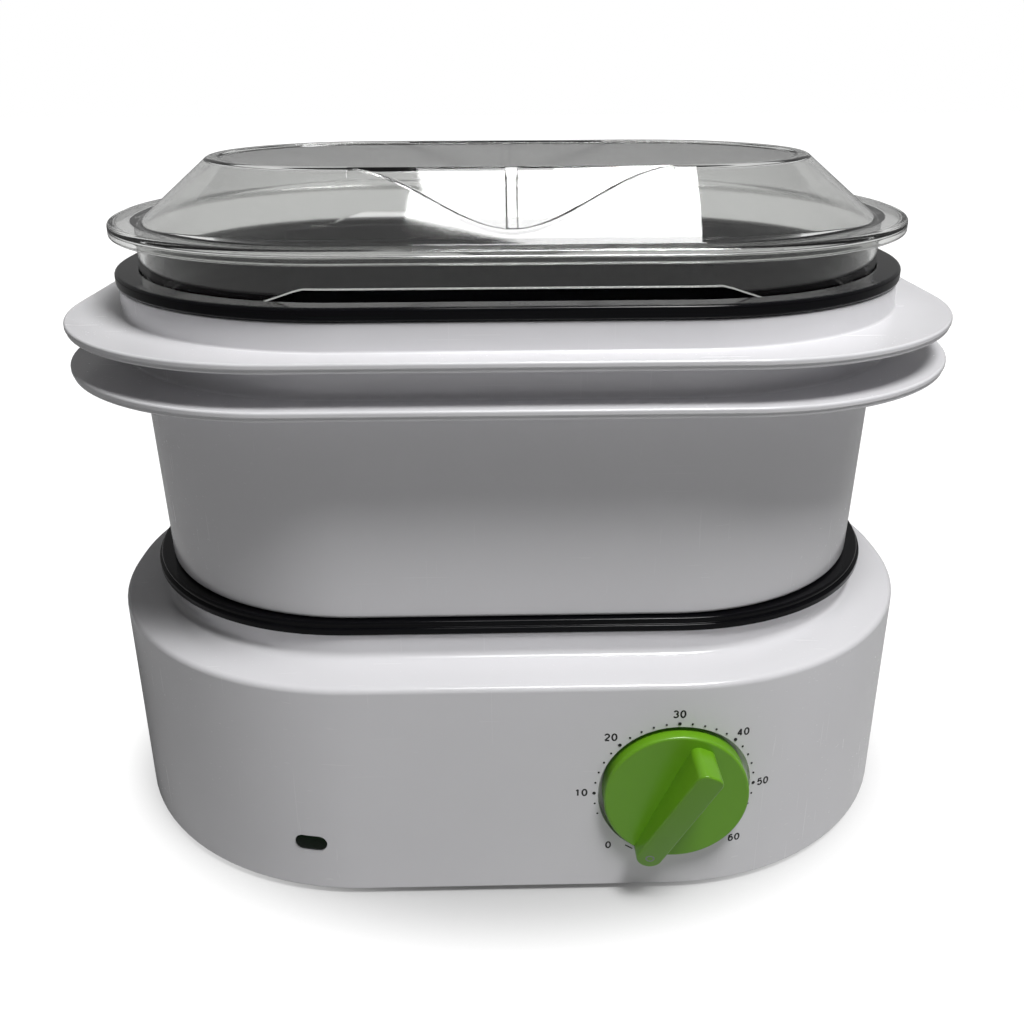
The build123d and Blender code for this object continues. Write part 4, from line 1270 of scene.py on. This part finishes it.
@dataclass
class Knob:
    """Green dial knob: disc, sloping grip and pointer."""

    base: Base
    back_y: float = -115.9
    face: float = 8.9
    disc_radius: float = 29.2
    rest: float = 156.5
    width: float = 10.6
    tail: float = 25.5
    tip: float = 32.0
    tail_height: float = 17.8
    tip_height: float = 5.6
    tail_round: float = 3.4
    edge_round: float = 0.85
    undercut: float = 1.6
    shell: float = 2.0
    hub_radius: float = 6.0
    bore_radius: float = 3.1
    bore_cap: float = 1.2
    dot_from_tip: float = 5.4

    def frame(self) -> Matrix:
        """A frame on the knob's axis: Y along the pointer and Z out of the wall."""
        turn = math.radians(self.rest)
        x_axis = Vector((math.cos(turn), 0, math.sin(turn)))
        origin = Vector((self.base.dial_x, self.back_y, self.base.dial_z))
        return frame_of(origin, x_axis, Vector((0, -1, 0)))

    def disc(self) -> bpy.types.Object:
        """The hollow disc with its hub."""
        face = self.face
        inner = self.disc_radius - self.shell
        section = (
            Corner(AXIS, face),
            Corner(self.disc_radius, face, 0.9),
            Corner(self.disc_radius, 0.0, 0.3),
            Corner(inner, 0.0, 0.3),
            Corner(inner, face - self.shell, 0.5),
            Corner(self.hub_radius, face - self.shell, 0.5),
            Corner(self.hub_radius, 0.0, 0.3),
            Corner(self.bore_radius, 0.0),
            Corner(self.bore_radius, face - self.bore_cap),
            Corner(AXIS, face - self.bore_cap),
        )
        return turned("disc", section, self.frame(), 160)

    def top_at(self, y: float) -> float:
        """The grip's height at a distance towards the pointer."""
        share = (y + self.tail) / (self.tip + self.tail)
        return self.face + self.tail_height + (self.tip_height - self.tail_height) * share

    def grip(self) -> bpy.types.Object:
        """The sloping grip, rounded along its edges."""
        half = self.width / 2
        corner = self.tail_round
        tip_steps, tail_steps = 16, 6
        plan = []
        for i in range(tip_steps + 1):
            angle = math.pi * i / tip_steps
            plan.append((half * math.cos(angle), self.tip - half + half * math.sin(angle)))
        for side, first in ((-1, math.pi), (1, 1.5 * math.pi)):
            for i in range(tail_steps + 1):
                angle = first + math.pi / 2 * i / tail_steps
                across = side * (half - corner) + corner * math.cos(angle)
                plan.append((across, -self.tail + corner + corner * math.sin(angle)))
        low = STACK.half_y + self.base.foot + self.back_y + self.undercut
        grip = prism("grip", plan, low, self.face, Matrix())
        top = max(v.co.z for v in grip.data.vertices)
        for vertex in grip.data.vertices:
            if vertex.co.z > top - 1e-6:
                vertex.co.z = self.top_at(vertex.co.y / MM) * MM
        shape = bmesh.new()
        shape.from_mesh(grip.data)
        floor = (self.face + 1.0) * MM
        high = [edge for edge in shape.edges if min(v.co.z for v in edge.verts) > floor]
        lip = [edge for edge in high if max(len(face.verts) for face in edge.link_faces) > 8]
        width = self.edge_round * MM
        bmesh.ops.bevel(shape, geom=lip, offset=width, segments=4, profile=0.5, affect="EDGES")
        shape.to_mesh(grip.data)
        shape.free()
        grip.data.transform(self.frame())
        smooth(grip.data, math.radians(40))
        return grip

    def dot_part(self, name: str, section: Sequence[Corner]) -> bpy.types.Object:
        """A turned part of the painted dot at the pointer's end, lying on the sloping top."""
        y = self.tip - self.dot_from_tip
        slope = math.atan2(self.tail_height - self.tip_height, self.tail + self.tip)
        spot = Vector((0, y, self.top_at(y))) * MM
        lying = Matrix.Translation(spot) @ Matrix.Rotation(-slope, 4, "X")
        return turned(name, section, self.frame() @ lying, 40)

    def build(self) -> None:
        """Builds and dresses the knob."""
        disc = self.disc()
        combine(disc, self.grip(), "UNION")
        smooth(disc.data, math.radians(34))
        disc.name = "dial_knob"
        dress(disc, GREEN, Body.KNOB, ("timer_knob",))
        ring = (
            Corner(1.1, -0.3),
            Corner(1.2, 0.05, 0.2),
            Corner(1.8, 0.08, 0.2),
            Corner(2.1, -0.3),
        )
        dress(self.dot_part("pointer_ring", ring), DOT_PAINT, Body.KNOB)
        pin = (
            Corner(AXIS, -0.1),
            Corner(1.05, -0.15, 0.2),
            Corner(1.05, -0.5),
            Corner(AXIS, -0.5),
        )
        dress(self.dot_part("pointer_pin", pin), BLACK_MATTE, Body.KNOB)


@dataclass
class DripTray:
    """Black tray: stepped rim, bowl and steam chimney."""

    lip: float = 97.0
    rim: float = 95.8
    low_z: float = 112.8
    lip_z: float = 115.6
    top_z: float = 118.0
    bowl_top: float = 90.0
    bowl_low: float = 87.4
    floor_z: float = 90.0
    chimney: float = 20.0
    chimney_z: float = 108.0
    wall: float = 1.8

    def build(self) -> None:
        """Builds and dresses the tray."""
        floor_top = self.floor_z + self.wall
        section = (
            Corner(self.lip, self.low_z, 0.5, TRAY),
            Corner(self.lip, self.lip_z, 0.8, TRAY),
            Corner(self.rim, self.lip_z, 0.3, TRAY),
            Corner(self.rim, self.top_z, 0.9, TRAY),
            Corner(self.bowl_top - self.wall, self.top_z, 0.8),
            Corner(self.bowl_low - self.wall, floor_top, 4.0),
            Corner(self.chimney + self.wall, floor_top, 2.0),
            Corner(self.chimney, self.chimney_z, 0.6),
            Corner(self.chimney - self.wall, self.chimney_z, 0.6),
            Corner(self.chimney, self.floor_z, 0.6),
            Corner(self.bowl_low, self.floor_z, 5.0),
            Corner(self.bowl_top, self.low_z, 0.4),
        )
        dress(wall("tray", section, True, 6), BLACK, Body.DRIP_TRAY, ("drip_tray",))


@dataclass
class Basket:
    """A steam basket: drafted wall, perforated floor, wide flange and collar.

    Attributes:
        name: Name of the piece.
        node: The frame node that it stands for.
        body: Its body.
        foot: Offset of the wall at its foot.
        top: Offset of the wall under the flange.
        foot_z: Height of the foot.
        flange_z: Height of the flange's underside.
        collar_height: Height of the collar above the flange.
        tongue: Offset of the tongue under the foot, or 0 for none.
    """

    name: str
    node: str
    body: Body
    foot: float
    top: float
    foot_z: float
    flange_z: float
    collar_height: float
    tongue: float = 0.0
    wall: float = 2.2
    flange_thick: float = 3.9
    flange: float = 100.0
    flange_lip: float = 4.4
    hollow: float = 1.5
    crease: float = 0.5
    collar: float = 101.9
    seat: float = 1.2
    ledge: float = 8.0
    dish: float = 0.25
    crease_share: float = 0.42
    tongue_depth: float = 3.6
    tongue_wall: float = 1.8
    tongue_taper: float = 0.3
    slot: tuple[float, float] = (15.0, 3.2)
    pitch: tuple[float, float] = (22.0, 13.0)

    def section(self) -> list[Corner]:
        """The wall's section, from the floor's inner edge out and round."""
        low, flat = self.foot_z, self.flange_z
        top = flat + self.flange_thick
        crease_z = flat + self.flange_thick * self.crease_share
        rim = top + self.collar_height
        inner_foot = self.foot - self.wall
        plate = inner_foot - self.ledge
        corners = [Corner(plate, low)]
        if self.tongue:
            tip = self.tongue - self.tongue_taper
            corners += [
                Corner(self.tongue - self.tongue_wall, low),
                Corner(tip - self.tongue_wall, low - self.tongue_depth, 0.4),
                Corner(tip, low - self.tongue_depth, 0.4),
                Corner(self.tongue, low),
            ]
        corners += [
            Corner(self.foot, low, 1.6),
            Corner(self.top, flat, 1.2),
            Corner(self.collar + self.seat, flat, 0.0, TOP),
            Corner(self.collar + self.seat, flat + self.hollow, 0.0, TOP),
            Corner(self.flange - self.flange_lip, flat + self.hollow, 0.6, FLANGE),
            Corner(self.flange - self.flange_lip, flat, 0.5, FLANGE),
            Corner(self.flange - self.crease, flat, 0.9, FLANGE),
            Corner(self.flange - self.crease, crease_z, 0.0, FLANGE),
            Corner(self.flange, crease_z + self.dish, 0.3, FLANGE),
            Corner(self.flange, top, 1.6, FLANGE),
            Corner(self.flange - self.flange_lip, top - self.dish, 0.0, FLANGE),
            Corner(self.collar, top - self.dish, 0.9, TOP),
            Corner(self.collar, rim, 0.6, TOP),
            Corner(self.collar - self.wall, rim, 0.6, TOP),
            Corner(self.collar - self.wall, top, 0.8, TOP),
            Corner(self.top - self.wall, top, 0.8),
            Corner(inner_foot, low + self.wall, 3.0),
            Corner(plate, low + self.wall),
        ]
        return corners

    def build(self) -> None:
        """Builds and dresses the basket."""
        side = wall(self.name, self.section(), True, 6)
        plate = self.foot - self.wall - self.ledge
        name = self.name + "_floor"
        low, thick = self.foot_z, self.wall
        floor = perforated_plate(name, plate, low, thick, self.slot, self.pitch, WHITE)
        dress(join(side, [floor]), WHITE, self.body, (self.node,))


LOWER_BASKET = Basket(
    "basket_low",
    "lower_basket",
    Body.LOWER_BASKET,
    foot=93.6,
    top=95.6,
    foot_z=118.3,
    flange_z=208.1,
    collar_height=12.9,
    tongue=87.6,
)
UPPER_BASKET = Basket(
    "basket_high",
    "upper_basket",
    Body.UPPER_BASKET,
    foot=88.4,
    top=90.4,
    foot_z=138.0,
    flange_z=225.2,
    collar_height=10.6,
)


@dataclass
class FoodInsert:
    """Black insert with a flat rim, a seat for the lid and a bowl."""

    rim: float = 102.7
    rim_low: float = 240.0
    rim_top: float = 244.9
    seat: float = 93.2
    seat_z: float = 242.5
    bore: float = 89.6
    throat: float = 91.8
    shelf_z: float = 229.7
    bowl: float = 86.6
    bowl_low: float = 84.8
    floor_z: float = 193.0
    wall: float = 2.2
    middle: float = 40.0

    def build(self) -> None:
        """Builds and dresses the insert."""
        floor_top = self.floor_z + self.wall
        shelf_top = self.shelf_z + self.wall
        corners = (
            (self.middle, floor_top, 0.0),
            (self.bowl_low - self.wall, floor_top, 6.0),
            (self.bowl - self.wall, shelf_top, 1.0),
            (self.bore, shelf_top, 1.2),
            (self.bore, self.seat_z, 0.6),
            (self.seat, self.seat_z, 0.3),
            (self.seat, self.rim_top, 0.7),
            (self.rim, self.rim_top, 1.3),
            (self.rim, self.rim_low, 0.9),
            (self.throat, self.rim_low, 0.3),
            (self.throat, self.shelf_z, 1.0),
            (self.bowl, self.shelf_z, 0.5),
            (self.bowl_low, self.floor_z, 4.0),
            (self.middle, self.floor_z, 0.0),
        )
        section = [Corner(offset, z, corner, TOP) for offset, z, corner in corners]
        dress(wall("insert", section, False, 6), BLACK, Body.FOOD_INSERT, ("food_insert",))


@dataclass
class Lid:
    """Smoky clear lid: dome with finger scoops, rolled flange and notched skirt.

    Attributes:
        dome_foot: Offset of the dome at its foot; the core under it is deeper there.
        dome_top: Offset of the dome at its top.
        scoop_half: Half width of a scoop at the top plate.
        scoop_fall: Drop of a scoop's floor below the top plate.
        knee: Bend of the scoop's curve, as shares of its half width and drop.
        end_slope: Slope of that curve at the top plate.
        break_share: Where the scoop's back face has its second corner, down its drop.
        rib_steps: Stations beside the rib's flank, from its half width.
        end_steps: Stations beside the scoop's end, from its half width.
        bead_width: Width of the raised edge round the top plate.
        plain_step: Distance between the slope's corners where there is no scoop.
    """

    wall: float = 2.3
    flange: float = 102.9
    flange_low: float = 259.0
    flange_top: float = 264.5
    dome_foot: float = 87.8
    dome_foot_depth: float = 12.0
    dome_top: float = 62.6
    dome_top_depth: float = 1.0
    top_z: float = 287.0
    skirt: float = 92.8
    skirt_z: float = 242.8
    notch_top: float = 75.0
    notch_foot: float = 92.0
    notch_height: float = 6.0
    scoop_half: float = 60.0
    scoop_fall: float = 20.7
    scoop_lean: float = 38.0
    floor_rise: float = 12.0
    knee: tuple[float, float] = (0.62, 0.34)
    end_slope: float = 0.12
    rib_half: float = 2.2
    rib_proud: float = 2.2
    rib_fade: float = 0.6
    rib_steps: tuple[float, ...] = (-1.6, -0.6, -0.45, -0.3, -0.15, 0.0, 0.1, 0.3)
    end_steps: tuple[float, ...] = (-1.2, -0.6, -0.2, 0.0, 0.8)
    break_share: float = 0.12
    plain_step: float = 1.1
    lip_run: float = 1.5
    bead_width: float = 4.4
    bead_rise: float = 0.8
    plate_run: float = 14.0
    least_fall: float = 0.05

    def slope(self) -> float:
        """The front slope's angle from level, in radians."""
        run = self.dome_foot_depth + self.dome_foot - self.dome_top_depth - self.dome_top
        return math.atan2(self.top_z - self.flange_top, run)

    def on_dome(self, z: float, shrink: float) -> Corner:
        """The corner on the dome's slope at a height, `shrink` inside its outer face."""
        share = (self.top_z - shrink - z) / (self.top_z - self.flange_top)
        inset = shrink / math.sin(self.slope()) - shrink / math.tan(self.slope())
        depth = self.dome_top_depth + (self.dome_foot_depth - self.dome_top_depth) * share
        offset = self.dome_top - inset + (self.dome_foot - self.dome_top) * share
        return Corner(offset, z, 0.0, Core(TOP.half_x, depth))

    def fall(self, x: float) -> float:
        """How deep the scoop runs at a distance from the middle: a curve through its knee."""
        at = abs(x)
        if at >= self.scoop_half:
            return 0.0
        lean = math.cos(math.radians(self.scoop_lean))
        knee_x = self.scoop_half * self.knee[0]
        knee_fall = self.scoop_fall * self.knee[1]
        outer = self.scoop_half - knee_x
        last = -self.end_slope * lean
        pull = outer * (knee_fall - self.scoop_fall) / knee_x - knee_x * knee_fall / outer
        bend = (3 * pull - knee_x * last) / (2 * self.scoop_half)
        if at < knee_x:
            ends = (self.scoop_fall, knee_fall, 0.0, bend * knee_x, at / knee_x)
        else:
            ends = (knee_fall, 0.0, bend * outer, last * outer, (at - knee_x) / outer)
        first, second, way_out, way_in, f = ends
        rise = first * (2 * f ** 3 - 3 * f ** 2 + 1) + second * (3 * f ** 2 - 2 * f ** 3)
        return rise + way_out * (f ** 3 - 2 * f ** 2 + f) + way_in * (f ** 3 - f ** 2)

    def slope_corners(self, x: float, scooped: bool, shrink: float) -> list[Corner]:
        """The section from the top plate's edge down the slope, through a scoop or beside it.

        Args:
            x: Distance from the middle of the long side.
            scooped: Whether this station lies on a long side.
            shrink: Distance inside the outer face.

        Returns:
            Five corners: top edge, break, scoop foot, scoop lip and a point below.
        """
        top_z = self.top_z - shrink
        drop = self.fall(x) if scooped else 0.0
        if drop < self.least_fall:
            return [self.on_dome(top_z - self.plain_step * i, shrink) for i in range(5)]
        lean = math.radians(self.scoop_lean)
        rise = math.radians(self.floor_rise)
        slope = self.slope()
        past = (abs(x) - self.rib_half + 0.5) / self.rib_fade
        rib = self.rib_proud * (1 - min(max(past, 0.0), 1.0))
        edge_y = self.dome_top_depth + self.dome_top

        def facet(z: float, out: float) -> float:
            """Depth of the scoop's back face at a height, moved out by a distance."""
            return edge_y + (self.top_z - z) * math.tan(lean) + (out - shrink) / math.cos(lean)

        def outer(z: float) -> float:
            """Depth of the dome's slope at a height."""
            spot = self.on_dome(z, shrink)
            return spot.offset + spot.core.half_y

        foot_z = self.top_z - drop - shrink * math.cos(lean)
        foot_y = facet(foot_z, 0.0)
        if rib > 0.0:
            shift = rib / math.cos(lean) / (1 / math.tan(rise) + math.tan(lean))
            foot_z += shift
            foot_y = facet(foot_z, rib)
        reach = max(outer(foot_z) - foot_y, 0.0) * math.sin(slope) / math.sin(slope + rise)
        lip_z = foot_z + reach * math.sin(rise)
        top_y = facet(top_z, rib)
        break_z = top_z - self.break_share * (top_z - foot_z)
        break_y = facet(break_z, rib)
        if top_y > outer(top_z):
            top_y = outer(top_z)
            span = facet(top_z, rib) - top_y
            break_z = top_z - span / (1 / math.tan(slope) - math.tan(lean))
            break_y = facet(break_z, rib)
        lip_y = foot_y + reach * math.cos(rise)
        spots = ((top_y, top_z), (break_y, break_z), (foot_y, foot_z), (lip_y, lip_z))
        core = Core(TOP.half_x, self.dome_top_depth)
        line = [Corner(y - core.half_y, z, 0.0, core) for y, z in spots]
        return [*line, self.on_dome(lip_z - self.lip_run, shrink)]

    def section(self, at: Station) -> list[Corner]:
        """The section at a station, from the middle of the top plate round to its underside."""
        on_long = abs(at.at_y) == 1 and abs(at.at_x) < 1
        x = at.at_x * TOP.half_x
        outer = self.slope_corners(x, on_long, 0.0)
        inner = self.slope_corners(x, on_long, self.wall)
        scooped = on_long and self.fall(x) > self.least_fall
        rounds = (1.6, 0.5, 1.6, 1.0, 0.0) if scooped else (2.6, 0.2, 0.2, 0.2, 0.0)
        bore = Corner(self.skirt - self.wall, 0.0, 0.0, TOP)
        under = self.flange_top - self.wall
        foot = self.on_dome(under, self.wall)
        top = self.on_dome(self.top_z - self.wall, self.wall)
        share = (at.reach(bore) - at.reach(top)) / (at.reach(foot) - at.reach(top))
        end_z = self.top_z - self.wall - (self.top_z - self.flange_top) * min(share, 1.0)
        middle = Core(TOP.half_x, self.dome_top_depth)
        lift = self.skirt_lift(at)
        sunk = self.top_z - self.bead_rise
        inner_edge = self.dome_top - self.bead_width
        line = [
            Corner(self.dome_top - self.plate_run, sunk, 0.0, middle),
            Corner(inner_edge - self.bead_rise, sunk, 0.4, middle),
            Corner(inner_edge, self.top_z, 0.4, middle),
        ]
        line += [replace(c, round=r) for c, r in zip(outer, rounds)]
        line += [
            replace(self.on_dome(self.flange_top, 0.0), round=2.0),
            Corner(self.flange, self.flange_top, 1.7, TOP),
            Corner(self.flange, self.flange_low, 0.9, TOP),
            Corner(self.flange - self.wall, self.flange_low, 0.9, TOP),
            Corner(self.flange - self.wall, under, 1.0, TOP),
            Corner(self.skirt, under, 1.2, TOP),
            Corner(self.skirt, self.skirt_z + lift, 0.8, TOP),
            Corner(bore.offset, self.skirt_z + lift, 0.8, TOP),
            Corner(bore.offset, end_z - 0.4, 0.3, TOP),
            replace(self.on_dome(end_z, self.wall), round=0.3),
        ]
        line += [replace(c, round=0.7 * r) for c, r in zip(reversed(inner), reversed(rounds))]
        under_plate = self.top_z - self.wall
        line += [Corner(self.dome_top - self.plate_run, under_plate, 0.0, middle)]
        return rounded(line, False, 4, at)

    def skirt_lift(self, at: Station) -> float:
        """How far the skirt's edge is raised at a station of the front or the back."""
        if abs(at.at_y) != 1 or abs(at.at_x) > 1 or abs(at.out_x) > 0.5:
            return 0.0
        span = abs(at.at_x * TOP.half_x + at.out_x * self.skirt)
        share = (self.notch_foot - span) / (self.notch_foot - self.notch_top)
        return self.notch_height * min(max(share, 0.0), 1.0)

    def build(self) -> None:
        """Builds and dresses the lid."""
        steps = 30
        near = [self.rib_half + step for step in self.rib_steps]
        spread = [self.scoop_half * i / steps for i in range(2, steps)]
        ends = [self.scoop_half + step for step in self.end_steps]
        half = sorted([*near, *spread, *ends])
        side = [-x / TOP.half_x for x in reversed(half)] + [0.0] + [x / TOP.half_x for x in half]
        mesh = ring_mesh("clear_lid", self.section, stations(side, 36), False)
        smooth(mesh, math.radians(30))
        dress(linked("clear_lid", mesh), SMOKE, Body.LID, ("lid",))


# ---------------------------------------------------------------- carried nodes
CARRIED: dict[str, Finish] = {
    "bottom_cover": WHITE_INNER,
    "water_reservoir": WHITE_INNER,
    "heater_plate": HOT_STEEL,
    "heater_gasket": SILICONE,
    "heater_clamp": STEEL,
    "heater_nuts": STEEL,
    "heating_element": HOT_STEEL,
    "thermostat": BLACK_MATTE,
    "terminal_block": WHITE_INNER,
    "cord_bush": FEET,
    "pilot_lamp": NEON,
    "timer_case": WHITE_INNER,
    "timer_bell": STEEL,
    "timer_screws": STEEL,
    "timer_shaft": BRASS,
    "knob_spring": STEEL,
    "steam_ring": BLACK_MATTE,
}


def dress_carried(nodes: dict[str, bpy.types.Object]) -> None:
    """Gives the frame's own nodes their finishes."""
    for name, finish in CARRIED.items():
        mesh = nodes[name].data
        mesh.materials.clear()
        mesh.materials.append(finish.material())
        smooth(mesh)
        LOG.info("%s: carried", name)


# ---------------------------------------------------------------- studio
@dataclass(frozen=True)
class Lamp:
    """A soft area lamp.

    Attributes:
        name: Its name.
        spot: Where it hangs, in metres.
        aim: What it points at, in metres.
        size: Its width and height in metres.
        power: Its power in watts.
        mirrored_only: Whether it shows in glossy faces alone and gives no other light.
    """

    name: str
    spot: tuple[float, float, float]
    aim: tuple[float, float, float]
    size: tuple[float, float]
    power: float
    mirrored_only: bool = False

    def hang(self) -> None:
        """Adds the lamp to the scene."""
        data = bpy.data.lights.new(self.name, "AREA")
        data.shape = "RECTANGLE"
        data.size, data.size_y = self.size
        data.energy = self.power
        lamp = bpy.data.objects.new(self.name, data)
        bpy.context.scene.collection.objects.link(lamp)
        lamp.location = self.spot
        lamp.rotation_mode = "QUATERNION"
        way = Vector(self.aim) - Vector(self.spot)
        lamp.rotation_quaternion = way.to_track_quat("-Z", "Y")
        if self.mirrored_only:
            lamp.visible_diffuse = False


ABOVE_LID = (0.02, -0.06, 0.27)
LAMPS = (
    Lamp("key_softbox", (0.35, -0.5, 1.42), (0.0, 0.0, 0.12), (0.4, 0.4), 20.0),
    Lamp("window_back", (0.125, 0.395, 1.5), ABOVE_LID, (0.5, 0.24), 5.5, True),
    Lamp("window_front", (0.12, -0.53, 1.5), ABOVE_LID, (0.46, 0.34), 7.0, True),
)


@dataclass
class Studio:
    """Camera, floor, world and lamps.

    Attributes:
        distance: How far the eye stands from the stack's axis, level, in millimetres.
        height: Height of the eye.
        pitch: How far it looks down, in degrees.
        yaw: How far it looks to the right, in degrees.
        roll: How far it leans, in degrees.
        side: How far it stands to the right.
        focal: Focal length, in pixels of the picture.
        image: Width of the picture in pixels.
        centre_y: Row of the picture's optical centre.
        ambient: Strength of the world's plain light.
        mirrored: Strength of the world in mirror images.
        bounce: Grey of the floor that light falls on.
        glow: Strength of the floor where it is to look white.
        painted_shade_half: Half sides of the oval of painted shadow round the stack, in metres.
        painted_shade_from: Where the floor starts to turn white, as a share of the oval.
        painted_shade_least: Share of white glow inside the oval; the rest is lit grey, so the floor
            there is painted darker.
        floor_gloss: Share of white in mirror images of the floor.
    """

    distance: float = 456.3
    height: float = 324.0
    pitch: float = 22.731
    yaw: float = 1.125
    roll: float = -0.258
    side: float = 1.05
    focal: float = 1031.9
    image: float = 1024.0
    centre_y: float = 488.6
    ambient: float = 0.07
    mirrored: float = 0.25
    bounce: float = 0.52
    glow: float = 1.15
    # Oval of painted shadow on the floor round the stack.
    painted_shade_half: tuple[float, float] = (0.21, 0.16)
    painted_shade_from: float = 0.675
    painted_shade_least: float = 0.06
    floor_gloss: float = 0.05
    floor_half: float = 6.0

    def camera(self) -> None:
        """Places the camera."""
        data = bpy.data.cameras.new("camera")
        data.sensor_width = 36.0
        data.lens = self.focal / self.image * 36.0
        data.shift_y = (self.centre_y - self.image / 2) / self.image
        data.clip_start = 0.01
        data.clip_end = 50.0
        pitch, yaw, roll = (math.radians(v) for v in (self.pitch, self.yaw, self.roll))
        right = Vector((math.cos(yaw), -math.sin(yaw), 0))
        level = math.cos(pitch)
        ahead = Vector((math.sin(yaw) * level, math.cos(yaw) * level, -math.sin(pitch)))
        above = right.cross(ahead)
        turned_right = right * math.cos(roll) + above * math.sin(roll)
        turned_up = above * math.cos(roll) - right * math.sin(roll)
        spot = Vector((
            self.side * math.cos(yaw) - self.distance * math.sin(yaw),
            -self.side * math.sin(yaw) - self.distance * math.cos(yaw),
            self.height,
        ))
        camera = bpy.data.objects.new("camera", data)
        bpy.context.scene.collection.objects.link(camera)
        basis = Matrix((turned_right, turned_up, -ahead)).transposed().to_4x4()
        camera.matrix_world = Matrix.Translation(spot * MM + AXIS_SHIFT) @ basis
        bpy.context.scene.camera = camera

    @staticmethod
    def seen(graph: Graph) -> Value:
        """1 where the camera looks, straight or through clear plastic, else 0."""
        camera = graph.node("ShaderNodeLightPath", None, None, "Is Camera Ray")
        clear = graph.node("ShaderNodeLightPath", None, None, "Is Transmission Ray")
        return camera.function("MAXIMUM", clear)

    def world(self) -> None:
        """White to the camera and through glass, dimmer as light."""
        world = bpy.data.worlds.new("studio")
        bpy.context.scene.world = world
        world.use_nodes = True
        world.node_tree.nodes.clear()
        graph = Graph(world.node_tree)
        seen = self.seen(graph)
        gloss = graph.node("ShaderNodeLightPath", None, None, "Is Glossy Ray")
        strength = seen.function("MAXIMUM", gloss * self.mirrored).function("MAXIMUM", self.ambient)
        inputs = {"Color": PURE_WHITE, "Strength": strength}
        sky = graph.node("ShaderNodeBackground", None, inputs)
        graph.node("ShaderNodeOutputWorld", None, {"Surface": sky})

    def floor(self) -> None:
        """A white floor that keeps the object's soft shadow, with painted shade: inside an oval
        round the stack its white glow gives way to lit grey, so it is darker there under any light.
        """
        shape = bmesh.new()
        bmesh.ops.create_grid(shape, x_segments=1, y_segments=1, size=self.floor_half)
        mesh = mesh_of(shape, "floor")
        floor = linked("floor", mesh)
        material = bpy.data.materials.new("studio_floor")
        material.use_nodes = True
        material.node_tree.nodes.clear()
        graph = Graph(material.node_tree)
        spot = graph.node("ShaderNodeTexCoord", None, None, "Object")
        # Painted shadow: in an oval round the stack the floor's white glow fades out and lit grey
        # shows instead.
        oval = graph.stretched(spot, (1 / self.painted_shade_half[0], 1 / self.painted_shade_half[1], 1.0))
        away = graph.node("ShaderNodeVectorMath", {"operation": "LENGTH"}, {0: oval}, "Value")
        inputs = {"Value": away, "From Min": self.painted_shade_from, "To Min": self.painted_shade_least}
        share = graph.node("ShaderNodeMapRange", {"interpolation_type": "SMOOTHSTEP"}, inputs)
        gloss = graph.node("ShaderNodeLightPath", None, None, "Is Glossy Ray")
        seen = self.seen(graph) * share + gloss * self.floor_gloss
        grey = (self.bounce, self.bounce, self.bounce, 1.0)
        matt = graph.node("ShaderNodeBsdfDiffuse", None, {"Color": grey})
        inputs = {"Color": PURE_WHITE, "Strength": self.glow}
        glow = graph.node("ShaderNodeEmission", None, inputs)
        both = graph.node("ShaderNodeMixShader", None, {0: seen, 1: matt, 2: glow})
        graph.node("ShaderNodeOutputMaterial", None, {"Surface": both})
        mesh.materials.append(material)

    def build(self) -> None:
        """Sets the stage."""
        self.camera()
        self.world()
        self.floor()
        for lamp in LAMPS:
            lamp.hang()
        bpy.context.scene.view_settings.view_transform = "Standard"


def main() -> None:
    """Builds the whole scene."""
    logging.basicConfig(level=logging.INFO, format="%(message)s")
    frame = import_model()
    Studio().build()
    base = Base()
    base.build()
    Dial(base).build()
    Knob(base).build()
    DripTray().build()
    LOWER_BASKET.build()
    UPPER_BASKET.build()
    FoodInsert().build()
    Lid().build()
    dress_carried(frame["nodes"])


if __name__ == "__main__":
    main()
